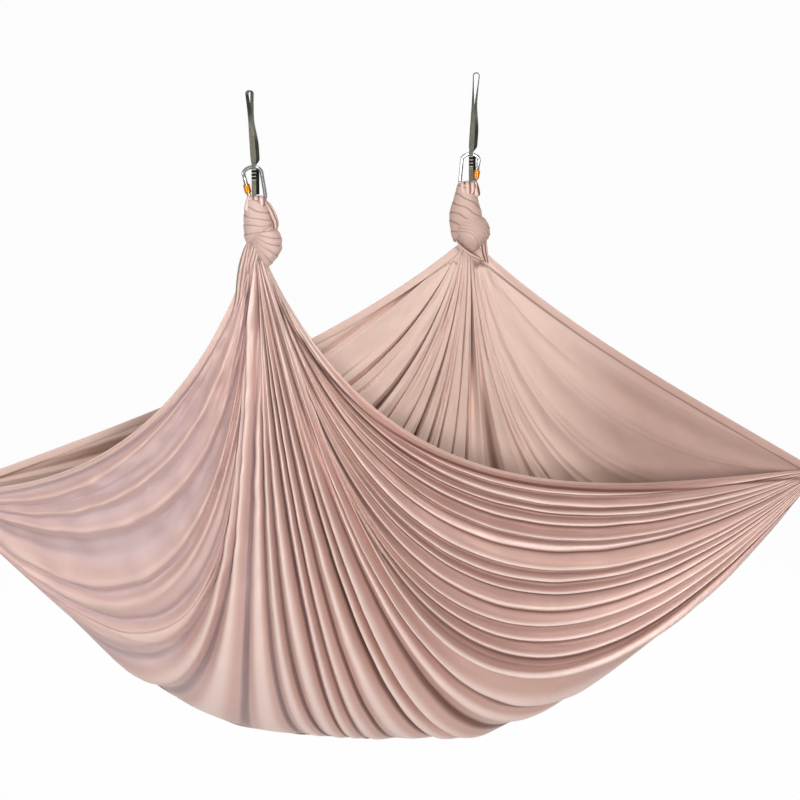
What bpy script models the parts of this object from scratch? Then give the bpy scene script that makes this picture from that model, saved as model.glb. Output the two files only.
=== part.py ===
"""Aerial yoga hammock: one sheet of satin tricot, gathered and knotted at both ends on screw-gate
carabiners that hang on twisted webbing straps, with its long edges drawn out left and right.
Metres, +Z up. The origin is the inside top of the near strap, where the ceiling hook bears."""

import math

import bmesh
import bpy
import numpy as np
from mathutils import Matrix, Vector

MM = 0.001
SEAT = 0.3 * MM  # gap between pieces that touch

# Hangers: where the strap hooks on, and the centre of the carabiner's top bar that it carries
NEAR_HOOK = (0.0, 0.0, 0.0)
FAR_HOOK = (0.600, 0.550, 0.0)
NEAR_BAR = (0.010, 0.0, -0.197)
FAR_BAR = (0.586, 0.550, -0.223)
NEAR_LEAN = math.radians(-10.0)  # turn of the carabiner about Y
FAR_LEAN = math.radians(6.0)
NEAR_STRAP_TURN = math.radians(24)  # heading of the strap's two legs at the hook
FAR_STRAP_TURN = 0.0

# Strap webbing
WEBBING_WIDTH = 15 * MM
WEBBING_THICKNESS = 2.4 * MM
HOOK_RADIUS = 7 * MM
LEG_SPREAD = 2.4 * MM  # half the distance between the legs' middles where they lie closest
CROOK_WIDTH = 9.5 * MM  # the webbing bunches in the crook of the carabiner
CROOK_CUP = 2.8 * MM  # how far its edges droop, which lets the rod tilt in the crook
CROOK_GAP = 0.6 * MM
TAIL_WIDTH = 12 * MM
TAIL_THICKNESS = 1.6 * MM
TAIL_FACE = 9.8 * MM  # inner face of a tail, from the plane of the carabiner
TAIL_TOP = 3.5 * MM
TACK_PITCH = 9 * MM
TACKS = 4
POCKET_BULGE = 2.0 * MM
TACK_HEIGHT = 1.8 * MM
TACK_THICKNESS = 0.8 * MM

# Carabiner, seen with its spine at +X, from the middle of its top bar
ROD_RADIUS = 5 * MM
SHOULDER = 23 * MM  # half its width at the top
SPINE_TOP = -18.5 * MM
GATE_LENGTH = 56 * MM
GATE_SLANT = math.radians(4.1)
HINGE = (-19.5 * MM, -22.5 * MM - GATE_LENGTH)
FOOT = HINGE[1] - 18.5 * MM
SPINE_FOOT = (22 * MM, HINGE[1] + 2 * MM)
NOSE_STRAIGHT = 8 * MM
HINGE_SHOULDER = 6.5 * MM
TONGUE_THICKNESS = 4 * MM
CAM_RADIUS = 4.2 * MM
CAM_RISE = 1.0 * MM
GATE_OPEN = math.radians(25)

# Gate, sleeve and what the gate holds
GATE_RADIUS = 5.5 * MM
SLOT_CLEARANCE = 0.3 * MM
FORK_DEPTH = 7.5 * MM
BORE_RADIUS = 2.3 * MM
BORE_END = GATE_LENGTH - 22 * MM
HINGE_PIN_RADIUS = 1.8 * MM
LATCH_PIN_RADIUS = 1.3 * MM
LATCH_PIN_HEIGHT = GATE_LENGTH - 4.8 * MM
NOSE_TONGUE_THICKNESS = 3.8 * MM
SLEEVE_RADIUS = 8.7 * MM
SLEEVE_LENGTH = 24 * MM
SLEEVE_MIDDLE = 25 * MM
KNURL_RIDGES = 16
SPRING_TURNS = 6
SPRING_RADIUS = 1.6 * MM
SPRING_WIRE = 0.35 * MM

# Cloth: where it leaves the knots, its two pulled corners and its lowest line
NEAR_NECK = (0.024, 0.0, -0.460)
FAR_NECK = (0.578, 0.550, -0.490)
NECK_RADIUS = 34 * MM
CORNER_DEPTH = 0.280
SHEET_THICKNESS = 2.4 * MM
FOLDS = 27
FOLD_HEIGHT = 28 * MM
LOOP_TOP = -FOOT - 23 * MM  # below the middle of the top bar
LOOP_END = -FOOT + 11 * MM
LOOP_SHIFT = 6.5 * MM
GATE_ROOM_INNER = 10.5 * MM  # the slot in the loop where the gate's foot swings
GATE_ROOM_HALF = GATE_RADIUS + 0.8 * MM
KEEL = [
    (-0.855, -1.135),
    (-0.705, -1.270),
    (-0.530, -1.455),
    (-0.290, -1.645),
    (-0.010, -1.785),
    (0.330, -1.815),
    (0.610, -1.785),
    (0.885, -1.660),
    (1.160, -1.455),
    (1.355, -1.270),
    (1.525, -1.080),
]
# Fold lines of a panel: share of the sheet's width, share of the keel, and the two middle
# control points of the curve that runs from the knot down to the keel
FRONT_LINES = [
    (0.00, 0.00, (-0.075, 0.030, -0.755), (-0.385, 0.140, -1.060)),
    (0.20, 0.00, (-0.070, 0.000, -1.520), (-0.465, 0.140, -1.465)),
    (0.28, 0.17, (-0.040, -0.040, -1.290), (-0.240, 0.040, -1.615)),
    (0.36, 0.33, (-0.015, -0.060, -1.125), (-0.085, -0.020, -1.720)),
    (0.48, 0.44, (0.025, -0.060, -1.070), (0.100, -0.040, -1.790)),
    (0.58, 0.56, (0.085, -0.060, -1.150), (0.295, -0.030, -1.810)),
    (0.65, 0.74, (0.125, -0.050, -1.480), (0.495, 0.000, -1.755)),
    (0.72, 1.00, (0.130, -0.030, -2.040), (1.110, 0.120, -1.500)),
    (1.00, 1.00, (0.120, 0.030, -0.875), (0.635, 0.140, -1.195)),
]
REAR_LINES = [
    (0.00, 0.00, (0.215, 0.530, -0.765), (-0.300, 0.420, -0.960)),
    (0.20, 0.00, (0.390, 0.560, -1.260), (-0.420, 0.420, -1.455)),
    (0.28, 0.17, (0.475, 0.600, -1.240), (-0.120, 0.520, -1.600)),
    (0.36, 0.33, (0.525, 0.620, -1.185), (0.105, 0.580, -1.760)),
    (0.48, 0.44, (0.565, 0.620, -1.130), (0.305, 0.600, -1.825)),
    (0.58, 0.56, (0.600, 0.620, -1.130), (0.505, 0.590, -1.805)),
    (0.65, 0.74, (0.635, 0.610, -1.215), (0.815, 0.550, -1.695)),
    (0.72, 1.00, (0.670, 0.590, -1.410), (1.175, 0.440, -1.520)),
    (1.00, 1.00, (0.850, 0.530, -0.710), (1.190, 0.420, -0.880)),
]
CORNER_SHARES = (0.20, 0.72)  # folds outside these run to the left and right corners
FOLD_EVENNESS = 0.65  # 1 spreads the folds evenly where the cloth hangs widest, 0 at the knot

# Each knot: its crown from the loop down, as height, middle in X and half sizes in X and Y, and
# the lobe that wraps its foot, as middle, half sizes and turn about Y
NEAR_CROWN = [
    (-0.3235, 0.0196, 0.0365, 0.0315),
    (-0.3495, 0.0253, 0.0437, 0.0360),
    (-0.3680, 0.0258, 0.0455, 0.0370),
    (-0.3840, 0.0190, 0.0365, 0.0310),
    (-0.3970, 0.0100, 0.0220, 0.0200),
]
FAR_CROWN = [
    (-0.3510, 0.5700, 0.0374, 0.0320),
    (-0.3730, 0.5700, 0.0415, 0.0350),
    (-0.3955, 0.5714, 0.0455, 0.0370),
    (-0.4125, 0.5686, 0.0430, 0.0350),
    (-0.4345, 0.5600, 0.0290, 0.0280),
    (-0.4540, 0.5540, 0.0140, 0.0160),
]
NEAR_LOBE = ((0.0425, -0.004, -0.4075), (0.0370, 0.0370, 0.0490), -16)
FAR_LOBE = ((0.5925, 0.547, -0.4445), (0.0465, 0.0390, 0.0490), -8)
PLEAT_DEPTH = 1.0 * MM


# Making meshes


def material(name, colour, roughness, metallic=0.0):
    made = bpy.data.materials.new(name)
    made.use_nodes = True
    shader = made.node_tree.nodes["Principled BSDF"]
    shader.inputs["Base Color"].default_value = (*colour, 1.0)
    shader.inputs["Roughness"].default_value = roughness
    shader.inputs["Metallic"].default_value = metallic
    made.diffuse_color = (*colour, 1.0)
    return made


def solid(name, points, faces, parent, finish, sharp=35):
    """A named object from points in its parent's frame, faces turned outwards."""
    mesh = bpy.data.meshes.new(name)
    mesh.from_pydata([tuple(p) for p in points], [], faces)
    shape = bmesh.new()
    shape.from_mesh(mesh)
    bmesh.ops.recalc_face_normals(shape, faces=shape.faces)
    shape.to_mesh(mesh)
    shape.free()
    mesh.shade_smooth()
    mesh.set_sharp_from_angle(angle=math.radians(sharp))
    made = bpy.data.objects.new(name, mesh)
    bpy.context.scene.collection.objects.link(made)
    made.parent = parent
    if finish:
        mesh.materials.append(finish)
    return made


def pivot(name, parent, place, turn=0.0):
    """An empty that carries the pieces which turn or slide with it."""
    made = bpy.data.objects.new(name, None)
    bpy.context.scene.collection.objects.link(made)
    made.parent = parent
    made.location = place
    made.rotation_euler = (0, turn, 0)
    return made


def combine(target, tool, how):
    """Adds or cuts the tool's shape, and leaves the tool as a hidden wire."""
    tool.hide_render = True
    tool.display_type = "WIRE"
    step = target.modifiers.new(tool.name, "BOOLEAN")
    step.operation = how
    step.solver = "EXACT"
    step.object = tool


def skin(rings, loop=False):
    """Faces between equal rings of points: a tube with end caps, or one closed on itself."""
    count = len(rings[0])
    faces = []
    last = len(rings) if loop else len(rings) - 1
    for i in range(last):
        j = (i + 1) % len(rings)
        for k in range(count):
            m = (k + 1) % count
            faces.append((i * count + k, i * count + m, j * count + m, j * count + k))
    if not loop:
        faces.append(tuple(range(count)))
        faces.append(tuple(range((len(rings) - 1) * count, len(rings) * count)))
    return [p for ring in rings for p in ring], faces


def turned(profile, sides, axis="z"):
    """Rings of a turned piece from (radius, height) pairs, closed by flat ends."""
    rings = []
    for radius, height in profile:
        ring = []
        for k in range(sides):
            a = 2 * math.pi * k / sides
            x, y = radius * math.cos(a), radius * math.sin(a)
            ring.append((x, y, height) if axis == "z" else (x, height, y))
        rings.append(ring)
    return skin(rings)


def rod_along(path, radius, sides):
    """A round rod along a path in the XZ plane."""
    rings = []
    for i, (x, z) in enumerate(path):
        before, after = path[max(i - 1, 0)], path[min(i + 1, len(path) - 1)]
        along = Vector((after[0] - before[0], 0, after[1] - before[1])).normalized()
        across = Vector((along.z, 0, -along.x))
        ring = []
        for k in range(sides):
            a = 2 * math.pi * k / sides
            offset = across * math.cos(a) * radius + Vector((0, math.sin(a) * radius, 0))
            ring.append((x + offset.x, offset.y, z + offset.z))
        rings.append(ring)
    return skin(rings)


def plate(outline, half_thickness, middle=0.0):
    """A flat plate in the XZ plane from its outline."""
    sides = (middle - half_thickness, middle + half_thickness)
    return skin([[(x, y, z) for x, z in outline] for y in sides])


def bezier(a, b, c, d, steps, first=0):
    out = []
    for i in range(first, steps + 1):
        t = i / steps
        weights = ((1 - t) ** 3, 3 * (1 - t) ** 2 * t, 3 * (1 - t) * t * t, t**3)
        x = sum(w * p[0] for w, p in zip(weights, (a, b, c, d)))
        z = sum(w * p[1] for w, p in zip(weights, (a, b, c, d)))
        out.append((x, z))
    return out


def quarter(start, end, start_upright, steps):
    """A quarter of an ellipse, upright at one end and level at the other."""
    k = 0.5523
    if start_upright:
        b = (start[0], start[1] + k * (end[1] - start[1]))
        c = (end[0] - k * (end[0] - start[0]), end[1])
    else:
        b = (start[0] + k * (end[0] - start[0]), start[1])
        c = (end[0], end[1] - k * (end[1] - start[1]))
    return bezier(start, b, c, end, steps, 1)


# Carabiner


def gate_direction():
    return (-math.sin(GATE_SLANT), math.cos(GATE_SLANT))


def along_gate(height):
    x, z = gate_direction()
    return (HINGE[0] + x * height, HINGE[1] + z * height)


def rod_path():
    """Middle line of the rod, from the hinge round the foot, the spine and the top to the nose."""
    start = along_gate(-HINGE_SHOULDER)
    nose = along_gate(GATE_LENGTH + SEAT)
    bend = along_gate(GATE_LENGTH + NOSE_STRAIGHT)
    path = [start]
    path += quarter(start, (1 * MM, FOOT), True, 6)
    path += quarter((1 * MM, FOOT), SPINE_FOOT, False, 6)
    path += [(SHOULDER, SPINE_TOP)]
    path += quarter((SHOULDER, SPINE_TOP), (0.0, 0.0), True, 6)
    path += quarter((0.0, 0.0), bend, False, 6)
    path += [nose]
    return path


def highest_point(side, lean):
    """Where the strap bears: the highest point of the rod as the carabiner hangs."""
    leaning = []
    for x, z in rod_path():
        x = side * x
        height = -x * math.sin(lean) + z * math.cos(lean)
        leaning.append((x * math.cos(lean) + z * math.sin(lean), height))
    return max(leaning, key=lambda place: place[1])


def hinge_tongue():
    """Outline of the tongue that the gate's fork straddles, with the cam its plunger rides on."""
    outline = [(-4.2 * MM, -9 * MM), (4.2 * MM, -9 * MM)]
    for degrees in (75, 50, 32, 25, 18, 10, 0, -15, -35, -60, -80):
        share = min(max(math.radians(degrees) / GATE_OPEN, 0), 1)
        if degrees > 32:
            share = 0.25
        radius = CAM_RADIUS + CAM_RISE * share
        angle = math.radians(degrees)
        outline.append((radius * math.sin(angle), radius * math.cos(angle)))
    return outline


def nose_tongue():
    """Outline of the tongue that enters the gate's slot: a hook round the latch pin."""
    top = GATE_LENGTH + 3 * MM
    end = GATE_LENGTH - 7.5 * MM
    half = 3.7 * MM
    notch = LATCH_PIN_RADIUS + SEAT
    pin = LATCH_PIN_HEIGHT
    return [
        (-half, top),
        (-half, end + 1 * MM),
        (-half + 1 * MM, end),
        (half - 1 * MM, end),
        (half, end + 0.6 * MM),
        (half, pin - notch),
        (-notch + 0.6 * MM, pin - notch),
        (-notch, pin - notch + 0.6 * MM),
        (-notch, pin + notch - 0.6 * MM),
        (-notch + 0.6 * MM, pin + notch),
        (half, pin + notch),
        (half, top),
    ]


def in_gate_frame(outline, side):
    """Moves an outline drawn on the gate's axis into the carabiner's frame."""
    x_dir, z_dir = gate_direction()
    out = []
    for x, z in outline:
        out.append((side * (HINGE[0] + z_dir * x + x_dir * z), HINGE[1] - x_dir * x + z_dir * z))
    return out


def carabiner(name, side, carrier, gate_axis, steel):
    path = [(side * x, z) for x, z in rod_path()]
    frame = solid(f"{name}_carabiner_frame", *rod_along(path, ROD_RADIUS, 14), carrier, steel)
    tongue = in_gate_frame(hinge_tongue(), side)
    tool = solid(f"{name}_hinge_tongue", *plate(tongue, TONGUE_THICKNESS / 2), carrier, None)
    combine(frame, tool, "UNION")
    tongue = in_gate_frame(nose_tongue(), side)
    half = NOSE_TONGUE_THICKNESS / 2
    tool = solid(f"{name}_nose_tongue", *plate(tongue, half), carrier, None)
    combine(frame, tool, "UNION")
    radius = HINGE_PIN_RADIUS + SEAT
    hole = turned([(radius, -8 * MM), (radius, 8 * MM)], 16, "y")
    combine(frame, solid(f"{name}_hinge_hole", *hole, gate_axis, None), "DIFFERENCE")
    return frame


def gate(name, axis, lock_axis, steel, orange):
    """The gate, its pins, spring and plunger, and the sleeve that screws along it. Upright here."""
    profile = [
        (3.0 * MM, -4.6 * MM),
        (4.6 * MM, -3.2 * MM),
        (GATE_RADIUS, -0.6 * MM),
        (GATE_RADIUS, GATE_LENGTH - 1.2 * MM),
        (GATE_RADIUS - 0.8 * MM, GATE_LENGTH),
    ]
    body = solid(f"{name}_gate", *turned(profile, 20), axis, steel)
    fork = TONGUE_THICKNESS / 2 + SLOT_CLEARANCE
    box = [(-9 * MM, -9 * MM), (9 * MM, -9 * MM), (9 * MM, FORK_DEPTH), (-9 * MM, FORK_DEPTH)]
    combine(body, solid(f"{name}_fork_slot", *plate(box, fork), axis, None), "DIFFERENCE")
    low, high = GATE_LENGTH - 9.5 * MM, GATE_LENGTH + 5 * MM
    box = [(-9 * MM, low), (9 * MM, low), (9 * MM, high), (-9 * MM, high)]
    slot = NOSE_TONGUE_THICKNESS / 2 + SLOT_CLEARANCE
    combine(body, solid(f"{name}_nose_slot", *plate(box, slot), axis, None), "DIFFERENCE")
    bore = turned([(BORE_RADIUS, FORK_DEPTH - 1 * MM), (BORE_RADIUS, BORE_END)], 16)
    combine(body, solid(f"{name}_spring_bore", *bore, axis, None), "DIFFERENCE")
    for part, radius, height in (
        ("hinge", HINGE_PIN_RADIUS, 0.0),
        ("latch", LATCH_PIN_RADIUS, LATCH_PIN_HEIGHT),
    ):
        points, faces = turned([(radius + SEAT, -8 * MM), (radius + SEAT, 8 * MM)], 16, "y")
        points = [(x, y, z + height) for x, y, z in points]
        combine(body, solid(f"{name}_{part}_bore", points, faces, axis, None), "DIFFERENCE")
        end = GATE_RADIUS - 0.2 * MM
        ends = [(radius - 0.3 * MM, -end), (radius, -end + 0.3 * MM)]
        ends += [(radius, end - 0.3 * MM), (radius - 0.3 * MM, end)]
        points, faces = turned(ends, 14, "y")
        points = [(x, y, z + height) for x, y, z in points]
        solid(f"{name}_{part}_pin", points, faces, axis, steel)

    tip = CAM_RADIUS + 0.7 * MM
    plunger = [
        (0.6 * MM, tip),
        (1.2 * MM, tip + 0.6 * MM),
        (1.2 * MM, FORK_DEPTH + 0.6 * MM),
        (1.9 * MM, FORK_DEPTH + 1.2 * MM),
        (1.9 * MM, FORK_DEPTH + 7 * MM),
    ]
    solid(f"{name}_spring_plunger", *turned(plunger, 14), axis, steel)
    low = FORK_DEPTH + 7 * MM + SEAT + SPRING_WIRE
    high = BORE_END - SEAT - SPRING_WIRE
    solid(f"{name}_gate_spring", *coil(low, high), axis, steel)
    solid(f"{name}_lock_sleeve", *knurled_sleeve(), lock_axis, orange, 30)
    return body


def coil(low, high):
    """A round-wire coil between two heights."""
    steps = 8 * SPRING_TURNS
    rings = []
    for i in range(steps + 1):
        a = 2 * math.pi * i / 8
        out = Vector((math.cos(a), math.sin(a), 0))
        middle = out * SPRING_RADIUS + Vector((0, 0, low + (high - low) * i / steps))
        ring = []
        for k in range(5):
            b = 2 * math.pi * k / 5
            ring.append(tuple(middle + (out * math.cos(b) + Vector((0, 0, math.sin(b)))) * SPRING_WIRE))
        rings.append(ring)
    return skin(rings)


def knurled_sleeve():
    """A tube with rounded collars and lengthwise knurling between them, about its middle."""
    half = SLEEVE_LENGTH / 2
    inner = GATE_RADIUS + SEAT
    ridge = 0.5 * MM
    levels = [
        (inner, -half, 0),
        (SLEEVE_RADIUS - 1.2 * MM, -half, 0),
        (SLEEVE_RADIUS - 0.3 * MM, -half + 0.8 * MM, 0),
        (SLEEVE_RADIUS - 0.3 * MM, -half + 3.0 * MM, 0),
        (SLEEVE_RADIUS, -half + 3.6 * MM, ridge),
        (SLEEVE_RADIUS, half - 3.6 * MM, ridge),
        (SLEEVE_RADIUS - 0.3 * MM, half - 3.0 * MM, 0),
        (SLEEVE_RADIUS - 0.3 * MM, half - 0.8 * MM, 0),
        (SLEEVE_RADIUS - 1.2 * MM, half, 0),
        (inner, half, 0),
    ]
    count = 2 * KNURL_RIDGES
    rings = []
    for radius, height, dip in levels:
        ring = []
        for k in range(count):
            a = 2 * math.pi * k / count
            r = radius - dip * (k % 2)
            ring.append((r * math.cos(a), r * math.sin(a), height))
        rings.append(ring)
    return skin(rings, loop=True)


# Strap


def strap_webbing(name, hook, bar, turn, root, grey):
    """A closed loop of webbing: over the hook, two legs that twist a quarter turn, and a cupped
    crook under the carabiner's bar."""
    hook_middle = Vector(hook) + Vector((0, 0, -HOOK_RADIUS))
    bar = Vector(bar)
    half = WEBBING_THICKNESS / 2
    at_hook = HOOK_RADIUS + half
    at_bar = ROD_RADIUS + CROOK_GAP + half
    down = Vector((0, 0, -1))

    def spread(share):
        opening = max(0.0, 1 - share / 0.42) ** 1.5
        closing = max(0.0, (share - 0.86) / 0.14) ** 1.5
        return LEG_SPREAD + (at_hook - LEG_SPREAD) * opening + (at_bar - LEG_SPREAD) * closing

    def heading(share):
        eased = share * share * (3 - 2 * share)
        angle = turn + (math.pi / 2 - turn) * eased
        return Vector((math.cos(angle), math.sin(angle), 0))

    stations = []
    for i in range(1, 14):
        share = i / 14
        out = heading(share)
        stations.append((hook_middle.lerp(bar, share) + out * spread(share), out, share))
    for i in range(0, 9):
        a = math.pi * i / 8
        out = heading(1) * math.cos(a) + down * math.sin(a)
        stations.append((bar + out * at_bar, out, 1 + math.sin(a)))
    for i in range(13, 0, -1):
        share = i / 14
        out = -heading(share)
        stations.append((hook_middle.lerp(bar, share) + out * spread(share), out, share))
    for i in range(0, 9):
        a = math.pi * i / 8
        out = -heading(0) * math.cos(a) - down * math.sin(a)
        stations.append((hook_middle + out * at_hook, out, 0.0))

    rings = []
    for middle, out, share in stations:
        lean = heading(min(share, 1.0))
        across = Vector((lean.y, -lean.x, 0))
        bunched = max(0.0, min((share - 0.8) / 0.2, 1.0))
        width = WEBBING_WIDTH + (CROOK_WIDTH - WEBBING_WIDTH) * bunched
        cup = CROOK_CUP * max(0.0, share - 1)
        low, high = [], []
        for side in (-1.0, -0.5, 0.0, 0.5, 1.0):
            place = middle + across * (side * width / 2) + out * (cup * abs(side) ** 1.25)
            low.append(tuple(place - out * half))
            high.append(tuple(place + out * half))
        rings.append(low + high[::-1])
    solid(f"{name}_strap_webbing", *skin(rings, loop=True), root, grey)


def ribbon(middle, top, foot, size, bulge=0.0, pitch=1.0, steps=1):
    """A hanging strip of webbing, swelling forward between its tacks."""
    x, y = middle
    width, thickness = size
    rings = []
    for i in range(steps + 1):
        depth = top + (foot - top) * i / steps
        swell = bulge * max(0.0, abs(math.sin(math.pi * (depth - top) / pitch)) - 0.3)
        back, front = y + thickness / 2 - swell, y - thickness / 2 - swell
        left, right = x - width / 2, x + width / 2
        corners = ((left, front), (right, front), (right, back), (left, back))
        rings.append([(side, face, -depth) for side, face in corners])
    return skin(rings)


def strap_tails(name, side, upright, finishes):
    """The two free ends of the webbing inside the carabiner: pockets and tacks on the front one."""
    end = LOOP_TOP - SEAT
    flat = (TAIL_WIDTH, TAIL_THICKNESS)
    level = TAIL_FACE + TAIL_THICKNESS / 2
    front = ribbon((0, -level), TAIL_TOP, end, flat)
    solid(f"{name}_strap_tail", *front, upright, finishes["webbing"])
    rear = ribbon((side * 6 * MM, level), TAIL_TOP, end, flat)
    solid(f"{name}_rear_strap_tail", *rear, upright, finishes["shade"])
    top = TAIL_TOP + 2 * MM
    span = TACK_PITCH * (TACKS - 1)
    pockets = level + TAIL_THICKNESS + SEAT
    shape = ribbon((0, -pockets), top, top + span, flat, POCKET_BULGE, TACK_PITCH, 6 * (TACKS - 1))
    solid(f"{name}_strap_pockets", *shape, upright, finishes["shade"])
    face = pockets + TAIL_THICKNESS / 2 + SEAT + TACK_THICKNESS / 2
    for i in range(TACKS):
        depth = top + TACK_PITCH * i
        ends = (depth - TACK_HEIGHT / 2, depth + TACK_HEIGHT / 2)
        tack = ribbon((0, -face), *ends, (TAIL_WIDTH, TACK_THICKNESS))
        solid(f"{name}_bar_tack_{i + 1}", *tack, upright, finishes["thread"])


# Cloth


def between(stations, values, at):
    """A smooth curve through values at uneven stations, at many places at once, which never
    swings past them."""
    secants = np.diff(values, axis=0) / np.diff(stations)[:, None]
    before, after = secants[:-1], secants[1:]
    agree = before * after > 0
    mean = 2 * before * after / np.where(agree, before + after, 1)
    slopes = np.concatenate([secants[:1], np.where(agree, mean, 0), secants[-1:]])
    i = np.clip(np.searchsorted(stations, at, side="right") - 1, 0, len(stations) - 2)
    step = (stations[i + 1] - stations[i])[:, None]
    t = (at - stations[i])[:, None] / step
    rise = 3 * t**2 - 2 * t**3
    return (
        (1 - rise) * values[i]
        + (t**3 - 2 * t**2 + t) * step * slopes[i]
        + rise * values[i + 1]
        + (t**3 - t**2) * step * slopes[i + 1]
    )


def keel_points(share):
    """Points on the cloth's lowest line, at shares of its length."""
    line = np.array([(x, CORNER_DEPTH, z) for x, z in KEEL])
    along = np.concatenate([[0], np.cumsum(np.linalg.norm(np.diff(line, axis=0), axis=1))])
    return between(along / along[-1], line, share)


def smooth_panel(lines, neck, facing, across, down):
    """Cubic curves from the knot's neck to the keel, one for each place across the sheet."""
    stations = np.array([line[0] for line in lines])
    keel_share = np.interp(across, stations, [line[1] for line in lines])
    upper = between(stations, np.array([line[2] for line in lines]), across)
    lower = between(stations, np.array([line[3] for line in lines]), across)
    angle = np.pi * (1.06 - 1.12 * across)
    ring = NECK_RADIUS + SEAT + SHEET_THICKNESS / 2
    level = np.zeros_like(angle)
    start = np.array(neck) + ring * np.stack([np.cos(angle), -np.sin(angle), level], axis=1)
    left, right = CORNER_SHARES
    gather = np.clip(1 - across / left, 0, 1) + np.clip((across - right) / (1 - right), 0, 1)
    beside = ((across < left) | (across > right)) * 2 * MM
    foot = keel_points(keel_share)
    foot[:, 1] += facing * (beside + 6 * MM * gather)
    foot[:, 2] += 22 * MM * gather
    t = down[None, :, None]
    return (
        (1 - t) ** 3 * start[:, None]
        + 3 * (1 - t) ** 2 * t * upper[:, None]
        + 3 * (1 - t) * t**2 * lower[:, None]
        + t**3 * foot[:, None]
    )


def outward(surface, facing):
    """Unit normals of a grid of points, turned to the outside of the hammock."""
    along = np.gradient(surface, axis=1)
    around = np.gradient(surface, axis=0)
    normal = np.cross(along, around)
    normal /= np.maximum(np.linalg.norm(normal, axis=2, keepdims=True), 1e-9)
    sign = np.sign((normal * np.array([0, facing, -0.3])).sum(axis=2, keepdims=True))
    return normal * np.where(sign == 0, 1, sign)


def fold_count(across, girth):
    """How many folds lie left of each place across the sheet: uneven, as in cloth."""
    sway = 0.3 * np.sin(2 * np.pi * 2.3 * across + 0.4) + 0.16 * np.sin(2 * np.pi * 5.1 * across)
    spread = FOLD_EVENNESS * girth + (1 - FOLD_EVENNESS) * across
    return FOLDS * spread + sway * np.sin(np.pi * across)


def cloth_panel(name, lines, neck, facing, swing, satin):
    """A pleated shell: a column of points on every ridge and in every valley of the folds."""
    fine = np.linspace(0, 1, 2001)
    widest = smooth_panel(lines, neck, facing, fine, np.array([0.6]))[:, 0]
    girth = np.concatenate([[0], np.cumsum(np.linalg.norm(np.diff(widest, axis=0), axis=1))])
    count = fold_count(fine, girth / girth[-1])
    across = np.interp(np.arange(0, 2 * FOLDS + 1) / 2, count, fine)
    down = np.linspace(0, 1, 11) ** 1.15
    surface = smooth_panel(lines, neck, facing, across, down)
    normal = outward(surface, facing)
    spacing = np.linalg.norm(np.gradient(surface, axis=0), axis=2)
    height = FOLD_HEIGHT * spacing / (spacing + 0.6 * FOLD_HEIGHT)
    fade = (1 - down**6) * np.clip(down / 0.06, 0, 1)
    ridge = np.where(np.arange(len(across)) % 2 == 1, 0.5, -0.5)
    if facing > 0:
        ridge = ridge * np.where(np.arange(len(across)) % 4 < 2, 1.0, 0.35)
    surface = surface + normal * (ridge[:, None] * height * fade)[..., None]
    outer = surface + normal * SHEET_THICKNESS / 2
    inner = surface - normal * SHEET_THICKNESS / 2
    if facing < 0:
        outer[..., 1] = np.minimum(outer[..., 1], CORNER_DEPTH - SEAT / 2)
        inner[..., 1] = np.minimum(inner[..., 1], CORNER_DEPTH - SEAT / 2)
    else:
        outer[..., 1] = np.maximum(outer[..., 1], CORNER_DEPTH + SEAT / 2)
        inner[..., 1] = np.maximum(inner[..., 1], CORNER_DEPTH + SEAT / 2)
    columns, rows = outer.shape[:2]
    points = np.concatenate([outer.reshape(-1, 3), inner.reshape(-1, 3)]) - np.array(NEAR_BAR)
    faces = []
    size = columns * rows

    def at(c, r, layer):
        return layer * size + c * rows + r

    for c in range(columns - 1):
        for r in range(rows - 1):
            faces.append((at(c, r, 0), at(c + 1, r, 0), at(c + 1, r + 1, 0), at(c, r + 1, 0)))
            faces.append((at(c, r, 1), at(c, r + 1, 1), at(c + 1, r + 1, 1), at(c + 1, r, 1)))
    for c in range(columns - 1):
        for r in (0, rows - 1):
            faces.append((at(c, r, 0), at(c + 1, r, 0), at(c + 1, r, 1), at(c, r, 1)))
    for r in range(rows - 1):
        for c in (0, columns - 1):
            faces.append((at(c, r, 0), at(c, r + 1, 0), at(c, r + 1, 1), at(c, r, 1)))
    solid(name, points.tolist(), faces, swing, satin, 60)


def pleated_ring(half, around, depth, place):
    """One ring of gathered cloth: an ellipse with a wave of pleats along it."""
    ring = []
    for k in range(around):
        a = 2 * math.pi * k / around
        crease = PLEAT_DEPTH * math.cos(depth + 3 * math.cos(a))
        ring.append(place((half[0] + crease) * math.cos(a), (half[1] + crease) * math.sin(a)))
    return ring


def crown(levels, bar, origin):
    """The upper mass of a knot, from the flat under the loop down to the crossing."""
    top = bar[2] - LOOP_END - SEAT
    first = levels[0]
    rings = []
    steps = [(top, first[1] - 3 * MM, first[2] - 6 * MM, first[3] - 4 * MM)] + levels
    heights = np.array([-level[0] for level in steps])
    fine = np.linspace(heights[0], heights[-1], 2 * len(steps) + 1)
    for height, middle, wide, deep in zip(fine, *between(heights, np.array(steps)[:, 1:], fine).T):
        centre = Vector((middle, bar[1], -height)) - origin

        def place(x, y):
            return tuple(centre + Vector((x, y, 0)))

        rings.append(pleated_ring((wide, deep), 24, height / (4 * MM), place))
    return skin(rings)


def lobe(middle, half, turn, origin, levels=12):
    """The turn of cloth that wraps the foot of a knot, with pleats that run across it."""
    spin = Matrix.Rotation(math.radians(turn), 3, "Y")
    rings = []
    for i in range(1, levels):
        polar = math.pi * i / levels
        span = math.sin(polar) ** 0.8
        height = half[2] * math.cos(polar)

        def place(x, y):
            return tuple(spin @ Vector((x, y, height)) + Vector(middle) - origin)

        rings.append(pleated_ring((half[0] * span, half[1] * span), 24, 8 * polar, place))
    return skin(rings)


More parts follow.
